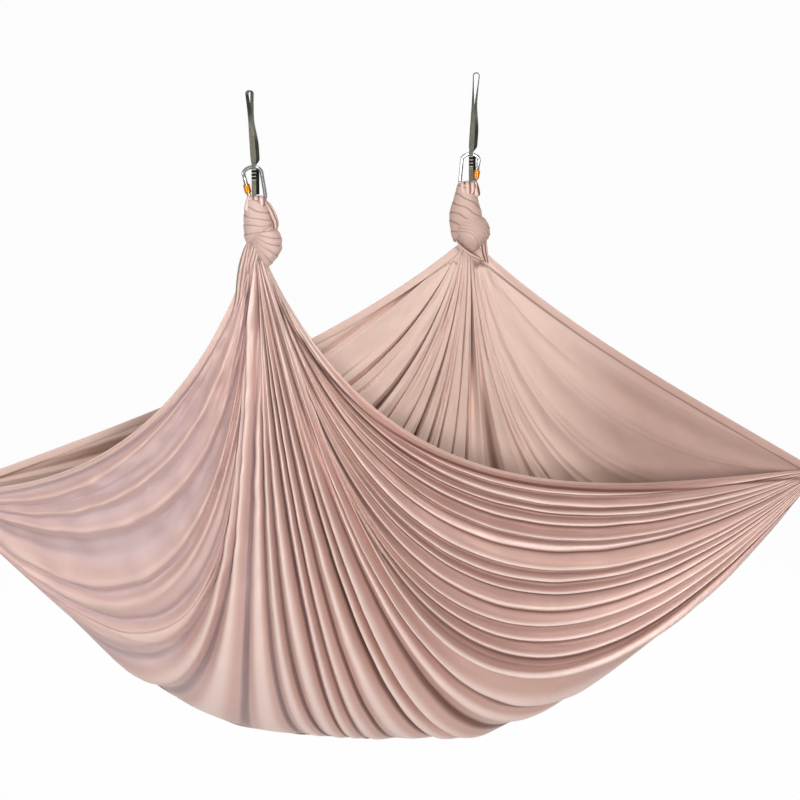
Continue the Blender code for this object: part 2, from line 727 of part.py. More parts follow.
def fabric_knot(name, levels, wrap, bar, neck, swing, satin):
    """The tied cloth: a crown, a wrapped lobe and a neck that the panels spread from."""
    origin = Vector(NEAR_BAR)
    knot = solid(f"{name}_fabric_knot", *crown(levels, bar, origin), swing, satin, 60)
    tool = solid(f"{name}_knot_lobe", *lobe(*wrap, origin), swing, None)
    combine(knot, tool, "UNION")
    profile = [
        (18 * MM, 40 * MM),
        (NECK_RADIUS, 12 * MM),
        (NECK_RADIUS, -0.5 * MM),
        (11 * MM, -24 * MM),
    ]
    points, faces = turned(profile, 24)
    points = [tuple(Vector(p) + Vector(neck) - origin) for p in points]
    combine(knot, solid(f"{name}_knot_neck", points, faces, swing, None), "UNION")


def fabric_loop(name, side, carrier, upright, satin):
    """The gathered end of the sheet over the carabiner's foot: a pleated pod with a tunnel for
    the bar and room for the gate's foot to swing."""
    rings = []
    count = 30
    for depth, width, thick in (
        (LOOP_TOP, 14 * MM, 12 * MM),
        (LOOP_TOP + 1.5 * MM, 19 * MM, 16 * MM),
        (LOOP_TOP + 8 * MM, 23 * MM, 19 * MM),
        (LOOP_TOP + 20 * MM, 27 * MM, 23 * MM),
        (LOOP_END, 29 * MM, 26 * MM),
    ):
        ring = []
        for k in range(count):
            a = 2 * math.pi * k / count
            pleat = 0.7 * MM * (1 if k % 2 else -1)
            drift = 1 + 0.35 * (depth - LOOP_TOP) / (LOOP_END - LOOP_TOP)
            x = side * LOOP_SHIFT * drift + (width + pleat) * math.cos(a)
            ring.append((x, (thick + pleat) * math.sin(a), -depth))
        rings.append(ring)
    pod = solid(f"{name}_fabric_loop", *skin(rings), upright, satin, 60)
    path = [(side * x, z) for x, z in rod_path()]
    tool = solid(f"{name}_bar_tunnel", *rod_along(path[:14], ROD_RADIUS + SEAT, 14), carrier, None)
    combine(pod, tool, "DIFFERENCE")
    inner, outer = -side * GATE_ROOM_INNER, -side * 40 * MM
    low, high = FOOT + 5 * MM, HINGE[1] + 18.5 * MM
    box = [(inner, low), (inner, high), (outer, high), (outer, low)]
    tool = solid(f"{name}_gate_room", *plate(box, GATE_ROOM_HALF), carrier, None)
    combine(pod, tool, "DIFFERENCE")


def hanger(name, side, hook, bar, lean, turn, root, swing, finishes):
    """One strap and carabiner with everything on it."""
    strap_webbing(name, hook, bar, turn, root, finishes["webbing"])
    upright = pivot(f"{name}_bar", swing, Vector(bar) - Vector(NEAR_BAR))
    top = highest_point(side, lean)
    carrier = pivot(f"{name}_carabiner", upright, (-top[0], 0, -top[1]), lean)
    hinge = (side * HINGE[0], 0, HINGE[1])
    gate_axis = pivot(f"{name}_gate_axis", carrier, hinge, -side * GATE_SLANT)
    lock_axis = pivot(f"{name}_lock_axis", gate_axis, (0, 0, SLEEVE_MIDDLE))
    carabiner(name, side, carrier, gate_axis, finishes["steel"])
    gate(name, gate_axis, lock_axis, finishes["steel"], finishes["orange"])
    fabric_loop(name, side, carrier, upright, finishes["satin"])
    strap_tails(name, side, upright, finishes)


def build():
    for old in list(bpy.data.objects):
        bpy.data.objects.remove(old)
    finishes = {
        "webbing": material("webbing", (0.21, 0.20, 0.17), 0.75),
        "shade": material("webbing_dark", (0.05, 0.05, 0.045), 0.8),
        "thread": material("tack_thread", (0.42, 0.41, 0.38), 0.7),
        "steel": material("polished_metal", (0.80, 0.80, 0.82), 0.2, 1.0),
        "orange": material("orange_sleeve", (0.83, 0.27, 0.02), 0.4),
        "satin": material("rose_satin", (0.62, 0.42, 0.38), 0.5),
    }
    root = pivot("ceiling_straps", None, NEAR_HOOK)
    swing = pivot("hammock_swing", None, NEAR_BAR)
    satin = finishes["satin"]
    hanger("near", 1, NEAR_HOOK, NEAR_BAR, NEAR_LEAN, NEAR_STRAP_TURN, root, swing, finishes)
    hanger("far", -1, FAR_HOOK, FAR_BAR, FAR_LEAN, FAR_STRAP_TURN, root, swing, finishes)
    fabric_knot("near", NEAR_CROWN, NEAR_LOBE, NEAR_BAR, NEAR_NECK, swing, satin)
    fabric_knot("far", FAR_CROWN, FAR_LOBE, FAR_BAR, FAR_NECK, swing, satin)
    cloth_panel("front_panel", FRONT_LINES, NEAR_NECK, -1, swing, satin)
    cloth_panel("rear_panel", REAR_LINES, FAR_NECK, 1, swing, satin)


build()
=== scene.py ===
"""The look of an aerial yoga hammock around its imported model: satin cloth with its folds, knots
and hems, webbing straps, polished carabiners, and the plain stage it is pictured on.
Metres, +Z up. The origin is the inside top of the near strap."""

import math

import bmesh
import bpy
import numpy as np
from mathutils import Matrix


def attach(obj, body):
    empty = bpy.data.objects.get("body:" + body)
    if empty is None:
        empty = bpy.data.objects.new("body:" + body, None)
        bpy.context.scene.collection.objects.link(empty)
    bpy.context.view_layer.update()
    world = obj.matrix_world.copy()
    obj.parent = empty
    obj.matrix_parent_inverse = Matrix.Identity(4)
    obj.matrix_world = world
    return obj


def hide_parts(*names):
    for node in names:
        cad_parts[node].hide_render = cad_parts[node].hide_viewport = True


bl_info = {
    "name": "Aerial Yoga Hammock",
    "version": (1, 0, 0),
    "blender": (4, 5, 0),
    "location": "View3D > Sidebar > Hammock",
    "description": "Builds the cloth, straps, finishes and stage of an aerial yoga hammock",
    "category": "Object",
}

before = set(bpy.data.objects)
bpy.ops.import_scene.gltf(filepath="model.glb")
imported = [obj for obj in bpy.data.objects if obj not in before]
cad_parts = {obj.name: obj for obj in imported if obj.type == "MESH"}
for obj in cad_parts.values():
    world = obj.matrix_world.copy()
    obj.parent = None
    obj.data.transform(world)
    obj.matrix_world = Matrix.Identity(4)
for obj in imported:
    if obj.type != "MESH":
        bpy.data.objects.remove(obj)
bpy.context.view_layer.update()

MM = 0.001
SEAT = 0.3 * MM  # gap between pieces that touch

# Hangers, as in the model
NEAR_HOOK = (0.0, 0.0, 0.0)
FAR_HOOK = (0.600, 0.550, 0.0)
NEAR_BAR = (0.010, 0.0, -0.197)
FAR_BAR = (0.586, 0.550, -0.223)
NEAR_STRAP_TURN = math.radians(38)
FAR_STRAP_TURN = 0.0
NEAR_STRAP_EYE = 0.42  # how far down the two legs stand apart, as a share of the strap
FAR_STRAP_EYE = 0.62
WEBBING_WIDTH = 15 * MM
WEBBING_THICKNESS = 2.4 * MM
HOOK_RADIUS = 7 * MM
ROD_RADIUS = 5 * MM
LEG_SPREAD = 2.4 * MM  # half the distance between the legs' middles where they lie closest
LEG_SLIP = 8.5 * MM  # how far the rear leg lies to the right of the front one
LIT = 0.55  # tone of webbing in full light, where 0 is in shade
CROOK_WIDTH = 9.5 * MM  # the webbing bunches in the crook of the carabiner
CROOK_CUP = 2.8 * MM  # how far its edges droop there
CROOK_GAP = 0.6 * MM
CROOK_START = 0.88  # how far down the bunching starts, as a share of the strap
TAIL_WIDTH = 12 * MM
TAIL_THICKNESS = 1.6 * MM
TAIL_FACE = 9.8 * MM  # inner face of a tail, from the plane of the carabiner
TAIL_TOP = 3.5 * MM  # below the middle of the top bar
TAIL_RISE = 9 * MM  # how far above the bar the front tail starts in the picture
REAR_TAIL_ASIDE = 7.5 * MM
TACK_PITCH = 9 * MM
TACKS = 4
FIRST_TACK = 2 * MM  # below the top of the rear tail
TACK_HALF = 1.1 * MM
TACK_THICKNESS = 0.8 * MM
POCKET_RISE = 2 * MM
LOOP_TOP = 74 * MM  # the cloth loop lies between these levels below the bar
LOOP_END = 108 * MM

# Cloth, as in the model
NEAR_NECK = (0.018, 0.0, -0.460)
FAR_NECK = (0.578, 0.550, -0.497)
NECK_RADIUS = 34 * MM
NECK_DEPTH = 30 * MM  # how far the folds reach up into a knot
NECK_SHARE = 0.45  # radius of the ring that they start from, as a share of the neck's
KNOT_MATT = 0.55  # how matt the pulled cloth of the knots is, where 1 is the inner face
# painted shade: the knots' matt face is a dimmed copy of the panels'
KNOT_SHADE = 0.84  # how pale its matt face is beside the panels'
KNOT_SCALE = 2.6 * MM  # length of the pattern for each row of the picture
NEAR_ASIDE = (-0.002, 0.010, 0.0)  # how far the leftmost folds start from the ring
FAR_ASIDE = (0.0, 0.0, 0.0)
LEAN = 0.25  # how far a fold leans down the slope, as a share of its height
ROW_POWER = 1.12  # above 1, rows lie closer together near the knot
ASIDE_SHARE = 0.13  # share of the sheet that starts aside from the ring
STRAY = 0.42  # how far a fold strays to either side on its way down, in folds
UNEVEN = 0.40  # how much taller or lower one fold is than the next, as a share
FOLD_GAIN = 1.7  # makes up for the height that narrow folds lose
NARROWING = 0.75  # how much folds lose height where they lie close together
EVEN_REACH = 9  # columns over which the directions of the folds are evened out
CRUMPLES = 14  # sine waves in the pattern of small dents
SLIT_SHARE = 0.15  # half the width of a slit a third of the way down, as a share of its fold
RIDGE_SHARE = 0.17  # half the width of a thin ridge, as a share of its fold
HEM_THICKNESS = 3.4 * MM
HEM_SIDES = 16
HEM_INSET = 0.42  # how far inside the sheet's edge a hem's middle lies, as a share of its width
HEM_TONE = 0.62
HEM_MATT = 0.7
HEM_RUN = slice(2, -1)  # rows of the sheet that the hems follow
# painted shadow along the foot of each hem
HEM_SHADOW = 4 * MM  # reach of the dark line along the foot of a hem
OVERLAP = 1.2 * MM  # how far each panel reaches past the lowest line
CORNER_DEPTH = 0.280  # Y of the corners and of the whole lowest line
CORNER_RISE = 22 * MM  # how far the cloth's edge climbs from that line at a corner
# X and Z of the lowest line, from corner to corner
KEEL = [
    (-0.855, -1.135),
    (-0.705, -1.270),
    (-0.530, -1.455),
    (-0.290, -1.655),
    (-0.150, -1.738),
    (-0.010, -1.788),
    (0.330, -1.815),
    (0.610, -1.785),
    (0.885, -1.660),
    (1.160, -1.455),
    (1.355, -1.270),
    (1.525, -1.080),
]
# Fold lines: share of the sheet's width, share of the keel, how far the foot climbs the corner,
# and the two middle control points of the curve from the knot down to the keel
FRONT_LINES = [
    (0.000, 0.000, 1.00, (-0.170, 0.030, -0.901), (-0.471, 0.140, -1.091)),
    (0.048, 0.000, 0.80, (-0.159, 0.030, -0.948), (-0.437, 0.140, -1.157)),
    (0.095, 0.000, 0.60, (-0.087, 0.020, -1.013), (-0.423, 0.130, -1.235)),
    (0.143, 0.000, 0.40, (-0.058, 0.020, -1.049), (-0.311, 0.120, -1.375)),
    (0.190, 0.000, 0.20, (-0.029, 0.010, -1.011), (-0.238, 0.120, -1.601)),
    (0.238, 0.000, 0.10, (-0.023, 0.000, -0.947), (-0.105, 0.120, -1.857)),
    (0.286, 0.000, 0.00, (-0.048, 0.000, -0.860), (0.029, 0.130, -2.071)),
    (0.333, 0.200, 0.00, (-0.013, -0.020, -0.612), (-0.015, 0.060, -1.963)),
    (0.381, 0.340, 0.00, (0.022, -0.050, -0.640), (-0.046, 0.000, -1.711)),
    (0.429, 0.435, 0.00, (0.052, -0.060, -0.756), (-0.015, -0.030, -1.715)),
    (0.476, 0.475, 0.00, (0.050, -0.060, -0.770), (0.168, -0.040, -1.735)),
    (0.524, 0.560, 0.00, (0.070, -0.060, -0.708), (0.297, -0.040, -1.849)),
    (0.571, 0.640, 0.00, (0.074, -0.050, -0.693), (0.400, -0.030, -1.974)),
    (0.619, 0.760, 0.00, (0.140, -0.050, -0.879), (0.494, 0.000, -2.025)),
    (0.667, 1.000, 0.00, (0.314, -0.050, -1.392), (0.622, 0.060, -2.085)),
    (0.714, 1.000, 0.10, (0.303, -0.050, -1.445), (0.719, 0.100, -1.960)),
    (0.762, 1.000, 0.25, (0.298, -0.040, -1.484), (0.767, 0.110, -1.804)),
    (0.810, 1.000, 0.40, (0.304, -0.030, -1.463), (0.861, 0.120, -1.597)),
    (0.857, 1.000, 0.55, (0.306, -0.020, -1.398), (0.943, 0.120, -1.430)),
    (0.905, 1.000, 0.70, (0.323, -0.010, -1.353), (0.992, 0.130, -1.303)),
    (0.952, 1.000, 0.85, (0.336, 0.010, -1.300), (1.038, 0.135, -1.173)),
    (1.000, 1.000, 1.00, (0.374, 0.030, -1.217), (1.052, 0.140, -1.053)),
]
REAR_LINES = [
    (0.00, 0.00, 1.0, (0.215, 0.530, -0.755), (-0.300, 0.420, -0.935)),
    (0.20, 0.00, 0.0, (0.390, 0.550, -1.260), (-0.420, 0.420, -1.455)),
    (0.28, 0.17, 0.0, (0.475, 0.585, -1.240), (-0.120, 0.505, -1.600)),
    (0.36, 0.33, 0.0, (0.525, 0.602, -1.185), (0.105, 0.562, -1.760)),
    (0.48, 0.44, 0.0, (0.565, 0.602, -1.130), (0.305, 0.582, -1.825)),
    (0.58, 0.56, 0.0, (0.600, 0.602, -1.130), (0.505, 0.572, -1.805)),
    (0.65, 0.74, 0.0, (0.635, 0.593, -1.215), (0.815, 0.532, -1.695)),
    (0.72, 1.00, 0.0, (0.670, 0.576, -1.410), (1.175, 0.430, -1.520)),
    (1.00, 1.00, 1.0, (0.850, 0.530, -0.710), (1.190, 0.420, -0.880)),
]
SHEET_FLAT = (2.85, 1.45)  # cut of each half of the sheet between knot and keel

# Folds of each panel, by share of the sheet's width. Counts: how many folds lie left of it.
# Thin: from 0 for full rolls to 1 for thin ridges between broad hollows. Slits: 1 for flat bands
# with narrow slits between them. Height and contrast: how tall the folds are and how strongly
# their painted shade and highlight show. Dents: depth of the pressed dents. Bundle: how many
# folds gather into one near the knot.
# Seed: where the random draws start
FRONT_FOLDS = {
    "counts": [
        (0.000, 0.0),
        (0.286, 6.0),
        (0.333, 7.0),
        (0.381, 8.2),
        (0.429, 9.6),
        (0.476, 12.2),
        (0.524, 14.4),
        (0.571, 16.3),
        (0.667, 19.0),
        (0.714, 20.0),
        (0.762, 21.4),
        (0.810, 23.8),
        (0.857, 26.0),
        (0.905, 28.0),
        (0.952, 30.3),
        (1.000, 33.0),
    ],
    "thin": [(0.0, 0.6), (0.25, 0.3), (0.42, 0.0), (0.55, 0.2), (0.70, 0.9), (1.0, 1.0)],
    "slits": [(0.0, 0.0)],
    "height": [(0.0, 0.5), (0.25, 0.7), (0.36, 1.4), (0.55, 1.45), (0.72, 0.95), (1.0, 0.6)],
    "contrast": [(0.0, 0.6), (0.28, 0.65), (0.38, 1.0), (1.0, 1.0)],
    "dents": [(0.0, 3.2 * MM), (0.28, 2.8 * MM), (0.42, 1.5 * MM), (1.0, 1.5 * MM)],
    "bundle": 2.7,
    "seed": 11,
}
REAR_FOLDS = {
    "counts": [(0.0, 0.0), (0.20, 4.0), (0.36, 7.0), (0.58, 10.5), (0.72, 13.0), (1.0, 18.0)],
    "thin": [(0.0, 0.0)],
    "slits": [(0.0, 0.7), (0.12, 1.0), (0.62, 1.0), (0.80, 0.4), (1.0, 0.1)],
    "height": [(0.0, 0.9), (0.2, 1.3), (0.58, 1.3), (0.75, 0.7), (1.0, 0.4)],
    "contrast": [(0.0, 1.0)],
    "dents": [(0.0, 1.5 * MM)],
    "bundle": 1.5,
    "seed": 23,
}
CLOTH_THICKNESS = 0.9 * MM
CLOTH_COLUMNS = 464
CLOTH_ROWS = 104


# Settings


def colour_setting(name, description, default):
    return bpy.props.FloatVectorProperty(
        name=name, description=description, subtype="COLOR", size=3, min=0, max=1, default=default
    )


def length_setting(name, description, low, high, default):
    return bpy.props.FloatProperty(
        name=name,
        description=description,
        subtype="DISTANCE",
        unit="LENGTH",
        min=low,
        max=high,
        default=default,
    )


def power_setting(name, description, default):
    return bpy.props.FloatProperty(
        name=name, description=description, subtype="POWER", min=0, max=2000, default=default
    )


class ClothSettings(bpy.types.PropertyGroup):
    """Sizes and colours of the cloth."""

    outside: colour_setting("Outside", "Colour of the satin face", (0.615, 0.385, 0.330))
    # painted shade deep between the folds
    shade: colour_setting("Shade", "Colour deep between the folds", (0.13, 0.040, 0.026))
    # painted cool light on the broad smooth folds towards the left
    lilac_light: colour_setting("Lilac", "Cool tint of the broad smooth folds", (0.68, 0.54, 0.56))
    inside: colour_setting("Inside", "Colour of the matt face", (0.80, 0.60, 0.52))
    fold_height: length_setting(
        "Fold height", "Height of the folds where the cloth hangs widest", 0.002, 0.05, 0.026
    )
    hem_width: length_setting(
        "Hem width", "Width of the hem along the long edges", 0.004, 0.03, 0.021
    )


class HangerSettings(bpy.types.PropertyGroup):
    """Colours of the straps and the carabiners."""

    webbing: colour_setting("Webbing", "Colour of the strap webbing", (0.245, 0.235, 0.190))
    # painted shade: a near-black copy of the webbing for the pockets and the rear tail, which lie
    # in shadow
    shaded_webbing: colour_setting(
        "Dark webbing", "Colour of the pockets and the rear tail", (0.012, 0.011, 0.009)
    )
    thread: colour_setting("Thread", "Colour of the bar tacks", (0.36, 0.35, 0.31))
    metal: colour_setting("Metal", "Colour of the polished carabiners", (0.36, 0.36, 0.375))
    sleeve: colour_setting(
        "Sleeve", "Colour of the anodised locking sleeves", (0.66, 0.21, 0.012)
    )


class StageSettings(bpy.types.PropertyGroup):
    """Floor and light."""

    floor_height: length_setting(
        "Floor height",
        "Height of the floor, with the cloth's lowest point at hip height",
        -4,
        -2,
        -2.75,
    )
    key_power: power_setting("Key light", "Power of the light in front, a little to the left", 250)
    top_power: power_setting("Top light", "Power of the large light above the front", 110)
    fill_power: power_setting("Fill light", "Power of the light from the front left", 45)
    back_power: power_setting("Back light", "Power of the light behind the hammock", 130)
    sky: bpy.props.FloatProperty(
        name="Room light",
        description="Strength of the even light from all round",
        min=0,
        max=2,
        default=0.28,
    )
    whiteness: bpy.props.FloatProperty(
        name="Whiteness",
        description="How far the floor is seen as plain white rather than lit and shaded",
        min=0,
        max=1,
        default=0.97,
    )


# Surfaces


def limited(stations, values, at):
    """A cubic through values at uneven stations. Each slope is the harmonic mean of its
    neighbours, or none where they disagree, so the curve never swings past a value."""
    secants = np.diff(values, axis=0) / np.diff(stations)[:, None]
    before, after = secants[:-1], secants[1:]
    agree = before * after > 0
    mean = 2 * before * after / np.where(agree, before + after, 1)
    slopes = np.concatenate([secants[:1], np.where(agree, mean, 0), secants[-1:]])
    return cubic(stations, values, slopes, at)


def flowing(stations, values, at):
    """A cubic through values at uneven stations, each slope the middle of its neighbours."""
    secants = np.diff(values, axis=0) / np.diff(stations)[:, None]
    middle = (secants[:-1] + secants[1:]) / 2
    slopes = np.concatenate([secants[:1], middle, secants[-1:]])
    return cubic(stations, values, slopes, at)


def cubic(stations, values, slopes, at):
    """Hermite cubics: cubic weights on the values and slopes at both ends of each span."""
    i = np.clip(np.searchsorted(stations, at, side="right") - 1, 0, len(stations) - 2)
    step = (stations[i + 1] - stations[i])[:, None]
    t = (at - stations[i])[:, None] / step
    rise = 3 * t**2 - 2 * t**3
    return (
        (1 - rise) * values[i]
        + (t**3 - 2 * t**2 + t) * step * slopes[i]
        + rise * values[i + 1]
        + (t**3 - t**2) * step * slopes[i + 1]
    )


def unit(vectors):
    """Vectors divided by their lengths."""
    return vectors / np.maximum(np.linalg.norm(vectors, axis=-1, keepdims=True), 1e-12)


def shares(points):
    """Distance along a row of points over its whole length."""
    steps = np.linalg.norm(np.diff(points, axis=0), axis=1)
    along = np.concatenate([[0], np.cumsum(steps)])
    return along / along[-1]


def signed_power(values, power):
    """Powers of the sizes of values, with their signs: sine and cosine give a squared ellipse."""
    return np.sign(values) * np.abs(values) ** power


def path_length(points):
    """Length of a row of points."""
    return np.linalg.norm(np.diff(points, axis=0), axis=1).sum()


def grid_uv(across, along):
    """Pattern coordinates of a grid, from those across and those along."""
    return np.stack(np.broadcast_arrays(across[None, :], along[:, None]), axis=-1)


def smoothstep(low, high, x):
    """A cubic from 0 at low to 1 at high, level at both ends and beyond."""
    t = np.clip((x - low) / (high - low), 0, 1)
    return t * t * (3 - 2 * t)


def turn_outwards(mesh, weld=False):
    """Turns every face outwards, after points that lie on each other are joined if wanted."""
    shape = bmesh.new()
    shape.from_mesh(mesh)
    if weld:
        bmesh.ops.remove_doubles(shape, verts=shape.verts, dist=0.001 * MM)
    bmesh.ops.recalc_face_normals(shape, faces=shape.faces)
    shape.to_mesh(mesh)
    shape.free()


class Shell:
    """Points, faces and their coordinates, gathered from several surfaces into one mesh."""

    def __init__(self):
        self.points, self.faces, self.corners = [], [], []
        self.values = {"inside": [], "fold": []}
        self.count = 0

    def grid(self, points, uv, inside=0.0, fold=0.5, wrap=False, flip=False):
        """A grid of quads, open or closed on itself along its second side. uv holds one more
        column than points where it is closed, so that a pattern runs over the seam."""
        rows, columns = points.shape[:2]
        i, j = np.meshgrid(np.arange(rows - 1), np.arange(columns - (not wrap)), indexing="ij")
        i, j = i.ravel(), j.ravel()
        around = ((i, j), (i, j + 1), (i + 1, j + 1), (i + 1, j))
        if flip:
            around = around[::-1]
        index = [a * columns + b % columns + self.count for a, b in around]
        self.faces += np.stack(index, axis=1).tolist()
        self.corners.append(np.stack([uv[a, b] for a, b in around], axis=1).reshape(-1, 2))
        self.points.append(points.reshape(-1, 3))
        first = self.count
        self.count += rows * columns
        self.values["inside"].append(np.broadcast_to(inside, (rows, columns)).ravel())
        self.values["fold"].append(np.broadcast_to(fold, (rows, columns)).ravel())
        return first + np.arange(rows * columns).reshape(rows, columns)

    def cap(self, ring, uv):
        """One face over a ring of points."""
        self.faces.append([int(k) for k in ring])
        self.corners.append(np.asarray(uv)[: len(ring)])

    def bridge(self, one, other, uv):
        """Quads between two rows of points that are there already."""
        self.faces += np.stack([one[:-1], one[1:], other[1:], other[:-1]], axis=1).tolist()
        corners = np.stack([uv[:-1], uv[1:], uv[1:], uv[:-1]], axis=1)
        self.corners.append(corners.reshape(-1, 2))

    def tube(self, rings, uv, fold=0.5, inside=0.0):
        """A closed tube through rings of points, with both ends capped."""
        index = self.grid(rings, uv, inside, fold, wrap=True)
        self.cap(index[0][::-1], uv[0])
        self.cap(index[-1], uv[-1])

    def build(self, name, finish, body="hammock", slot="rose_satin", sharp=None):
        mesh = bpy.data.meshes.new(name)
        mesh.from_pydata(np.concatenate(self.points), [], self.faces)
        layer = mesh.uv_layers.new(name="UVMap")
        layer.data.foreach_set("uv", np.concatenate(self.corners).astype(np.float32).ravel())
        for key, values in self.values.items():
            held = mesh.attributes.new(key, "FLOAT", "POINT")
            held.data.foreach_set("value", np.concatenate(values).astype(np.float32))
        turn_outwards(mesh)
        mesh.shade_smooth()
        if sharp:
            mesh.set_sharp_from_angle(angle=math.radians(sharp))
        made = bpy.data.objects.new(name, mesh)
        bpy.context.scene.collection.objects.link(made)
        mesh.materials.append(finish)
        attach(made, body)
        return made


STRAND_STEPS = 44
BLUNT = 6  # the higher, the blunter a strand ends


def strand(shell, points, across, half, pleats, depth, sides=44):
    """A band of gathered cloth: an oval, flattened like a squared ellipse, carried along a
    smooth path. Its width lies along the across vectors. A wave over the width makes its
    pleats. Both ends round off by the root of one less a power of the distance from the middle."""
    points, across, half = np.array(points), np.array(across, float), np.array(half, float)
    at = np.linspace(0, 1, STRAND_STEPS)
    stations = shares(points)
    path = flowing(stations, points, at)
    side = np.broadcast_to(across, points.shape) if across.ndim == 1 else across
    side = flowing(stations, side, at)
    size = flowing(stations, np.broadcast_to(half, (len(points), 2)).copy(), at)
    tangent = unit(np.gradient(path, axis=0))
    side = unit(side - (side * tangent).sum(axis=1, keepdims=True) * tangent)
    normal = np.cross(side, tangent)
    closing = np.sqrt(np.clip(1 - np.abs(2 * at - 1) ** BLUNT, 0.0025, 1))
    around = np.linspace(0, 2 * np.pi, sides + 1)[:-1] - np.pi / 2
    flat, tall = signed_power(np.cos(around), 0.85), signed_power(np.sin(around), 0.75)
    wave = np.cos(np.pi * pleats * flat[None, :] + 1.3 * np.sin(3 * at)[:, None])
    rise = tall[None, :] * size[:, 1:2] * closing[:, None] + depth * wave * np.sign(tall)
    wide = flat[None, :] * size[:, 0:1] * closing[:, None]
    rings = path[:, None] + side[:, None] * wide[..., None] + normal[:, None] * rise[..., None]
    turn = np.linspace(0, 2 * math.pi * half.reshape(-1, 2)[:, 0].mean(), sides + 1)
    uv = grid_uv(turn, at * path_length(points))
    # painted shade in the hollows of the pleats and painted highlight on their tops
    shell.tube(rings, uv, fold=0.5 + 0.5 * wave, inside=KNOT_MATT)


# Node graphs


class Socket:
    """One output in a node tree. Sums, products and powers of it add Math nodes."""

    def __init__(self, graph, output):
        self.graph, self.output = graph, output

    def maths(self, operation, *others):
        values = dict(enumerate((self, *others)))
        return self.graph.node("ShaderNodeMath", {"operation": operation}, values)

    def flipped(self, operation, other):
        return self.graph.node("ShaderNodeMath", {"operation": operation}, {0: other, 1: self})

    def __add__(self, other):
        return self.maths("ADD", other)

    def __sub__(self, other):
        return self.maths("SUBTRACT", other)

    def __mul__(self, other):
        return self.maths("MULTIPLY", other)

    def __truediv__(self, other):
        return self.maths("DIVIDE", other)

    def __pow__(self, other):
        return self.maths("POWER", other)

    def __rsub__(self, other):
        return self.flipped("SUBTRACT", other)

    __radd__ = __add__
    __rmul__ = __mul__


class Graph:
    """The node tree of one material or world, around its first shader."""

    def __init__(self, name, kind="materials"):
        self.material = getattr(bpy.data, kind).new(name)
        self.material.use_nodes = True
        self.tree = self.material.node_tree
        kinds = {"BSDF_PRINCIPLED", "BACKGROUND"}
        self.shader = next(node for node in self.tree.nodes if node.type in kinds)

    def node(self, kind, settings=None, values=None, output=0):
        """Adds a node, sets its settings and then its sockets' values or links."""
        made = self.tree.nodes.new(kind)
        for key, value in (settings or {}).items():
            if key == "stops":
                ramp = made.color_ramp
                while len(ramp.elements) < len(value):
                    ramp.elements.new(1.0)
                for stop, (place, colour) in zip(ramp.elements, value):
                    stop.position, stop.color = place, colour
            else:
                setattr(made, key, value)
        for key, value in (values or {}).items():
            self.feed(made.inputs[key], value)
        return Socket(self, made.outputs[output])

    def feed(self, target, value):
        if isinstance(value, Socket):
            self.tree.links.new(value.output, target)
        elif value is not None:
            target.default_value = value

    def blend(self, share, one, other):
        """A colour between two colours."""
        mix = {"data_type": "RGBA"}
        return self.node("ShaderNodeMix", mix, {0: share, 6: colour(one), 7: colour(other)}, 2)

    def attribute(self, name):
        return self.node("ShaderNodeAttribute", {"attribute_name": name}, output="Fac")

    def pattern(self):
        """Pattern coordinates across and along."""
        uv = self.node("ShaderNodeUVMap", {"uv_map": "UVMap"})
        across = self.node("ShaderNodeSeparateXYZ", {}, {0: uv}, "X")
        return across, Socket(self, across.output.node.outputs["Y"])

    def waves(self, place, pitch):
        """A sine wave over a place, once for each pitch."""
        return (place * (2 * math.pi / pitch)).maths("SINE")

    def place(self, scale):
        """Object coordinates, stretched."""
        here = self.node("ShaderNodeTexCoord", output="Object")
        return self.node("ShaderNodeMapping", {}, {"Vector": here, "Scale": scale})

    def noise(self, vector, scale, detail, roughness):
        values = {"Vector": vector, "Scale": scale, "Detail": detail, "Roughness": roughness}
        return self.node("ShaderNodeTexNoise", {}, values, "Fac")

    def ramp(self, value, low, high):
        """0 below low and 1 above high, with a smooth rise between."""
        values = {"Value": value, "From Min": low, "From Max": high}
        return self.node("ShaderNodeMapRange", {"interpolation_type": "SMOOTHSTEP"}, values)

    def bump(self, height, distance, strength, below=None):
        values = {"Height": height, "Distance": distance, "Strength": strength, "Normal": below}
        return self.node("ShaderNodeBump", {}, values)

    def finish(self, **sockets):
        """Sets the shader's sockets, named with underscores for spaces."""
        for key, value in sockets.items():
            self.feed(self.shader.inputs[key.replace("_", " ")], colour(value))
        return self.material


def colour(value):
    """Three numbers as a colour with an alpha of one. Anything else stays."""
    if isinstance(value, Socket) or not hasattr(value, "__len__"):
        return value
    return (*value, 1.0)[:4]


def times(values, factor):
    """Every part of a colour times one number."""
    return tuple(factor * x for x in values)


def once(make):
    """Hands back the material of that name where it is made already."""

    def made_once(name, *values):
        return bpy.data.materials.get(name) or make(name, *values)

    return made_once


# Pitch of the knit's wales and courses and of the webbing's ribs and slanted picks
WALE_PITCH = 1.6 * MM
COURSE_PITCH = 2.1 * MM
RIB_PITCH = 1.2 * MM
PICK_PITCH = 1.0 * MM
PICK_SLANT = 0.4 * MM
# Colours of the satin's painted highlight on its crests, its paler patches, its raised stitches and
# its sheen
CREST_HIGHLIGHT = (0.90, 0.72, 0.66)
PATCH = (0.74, 0.55, 0.50)
STITCH = (0.80, 0.62, 0.56)
SHEEN = (0.95, 0.84, 0.80)
# Colours of plain steel and of fine scratches in metal
STEEL = (0.60, 0.60, 0.62)
SCRATCH = (0.95, 0.94, 0.92)


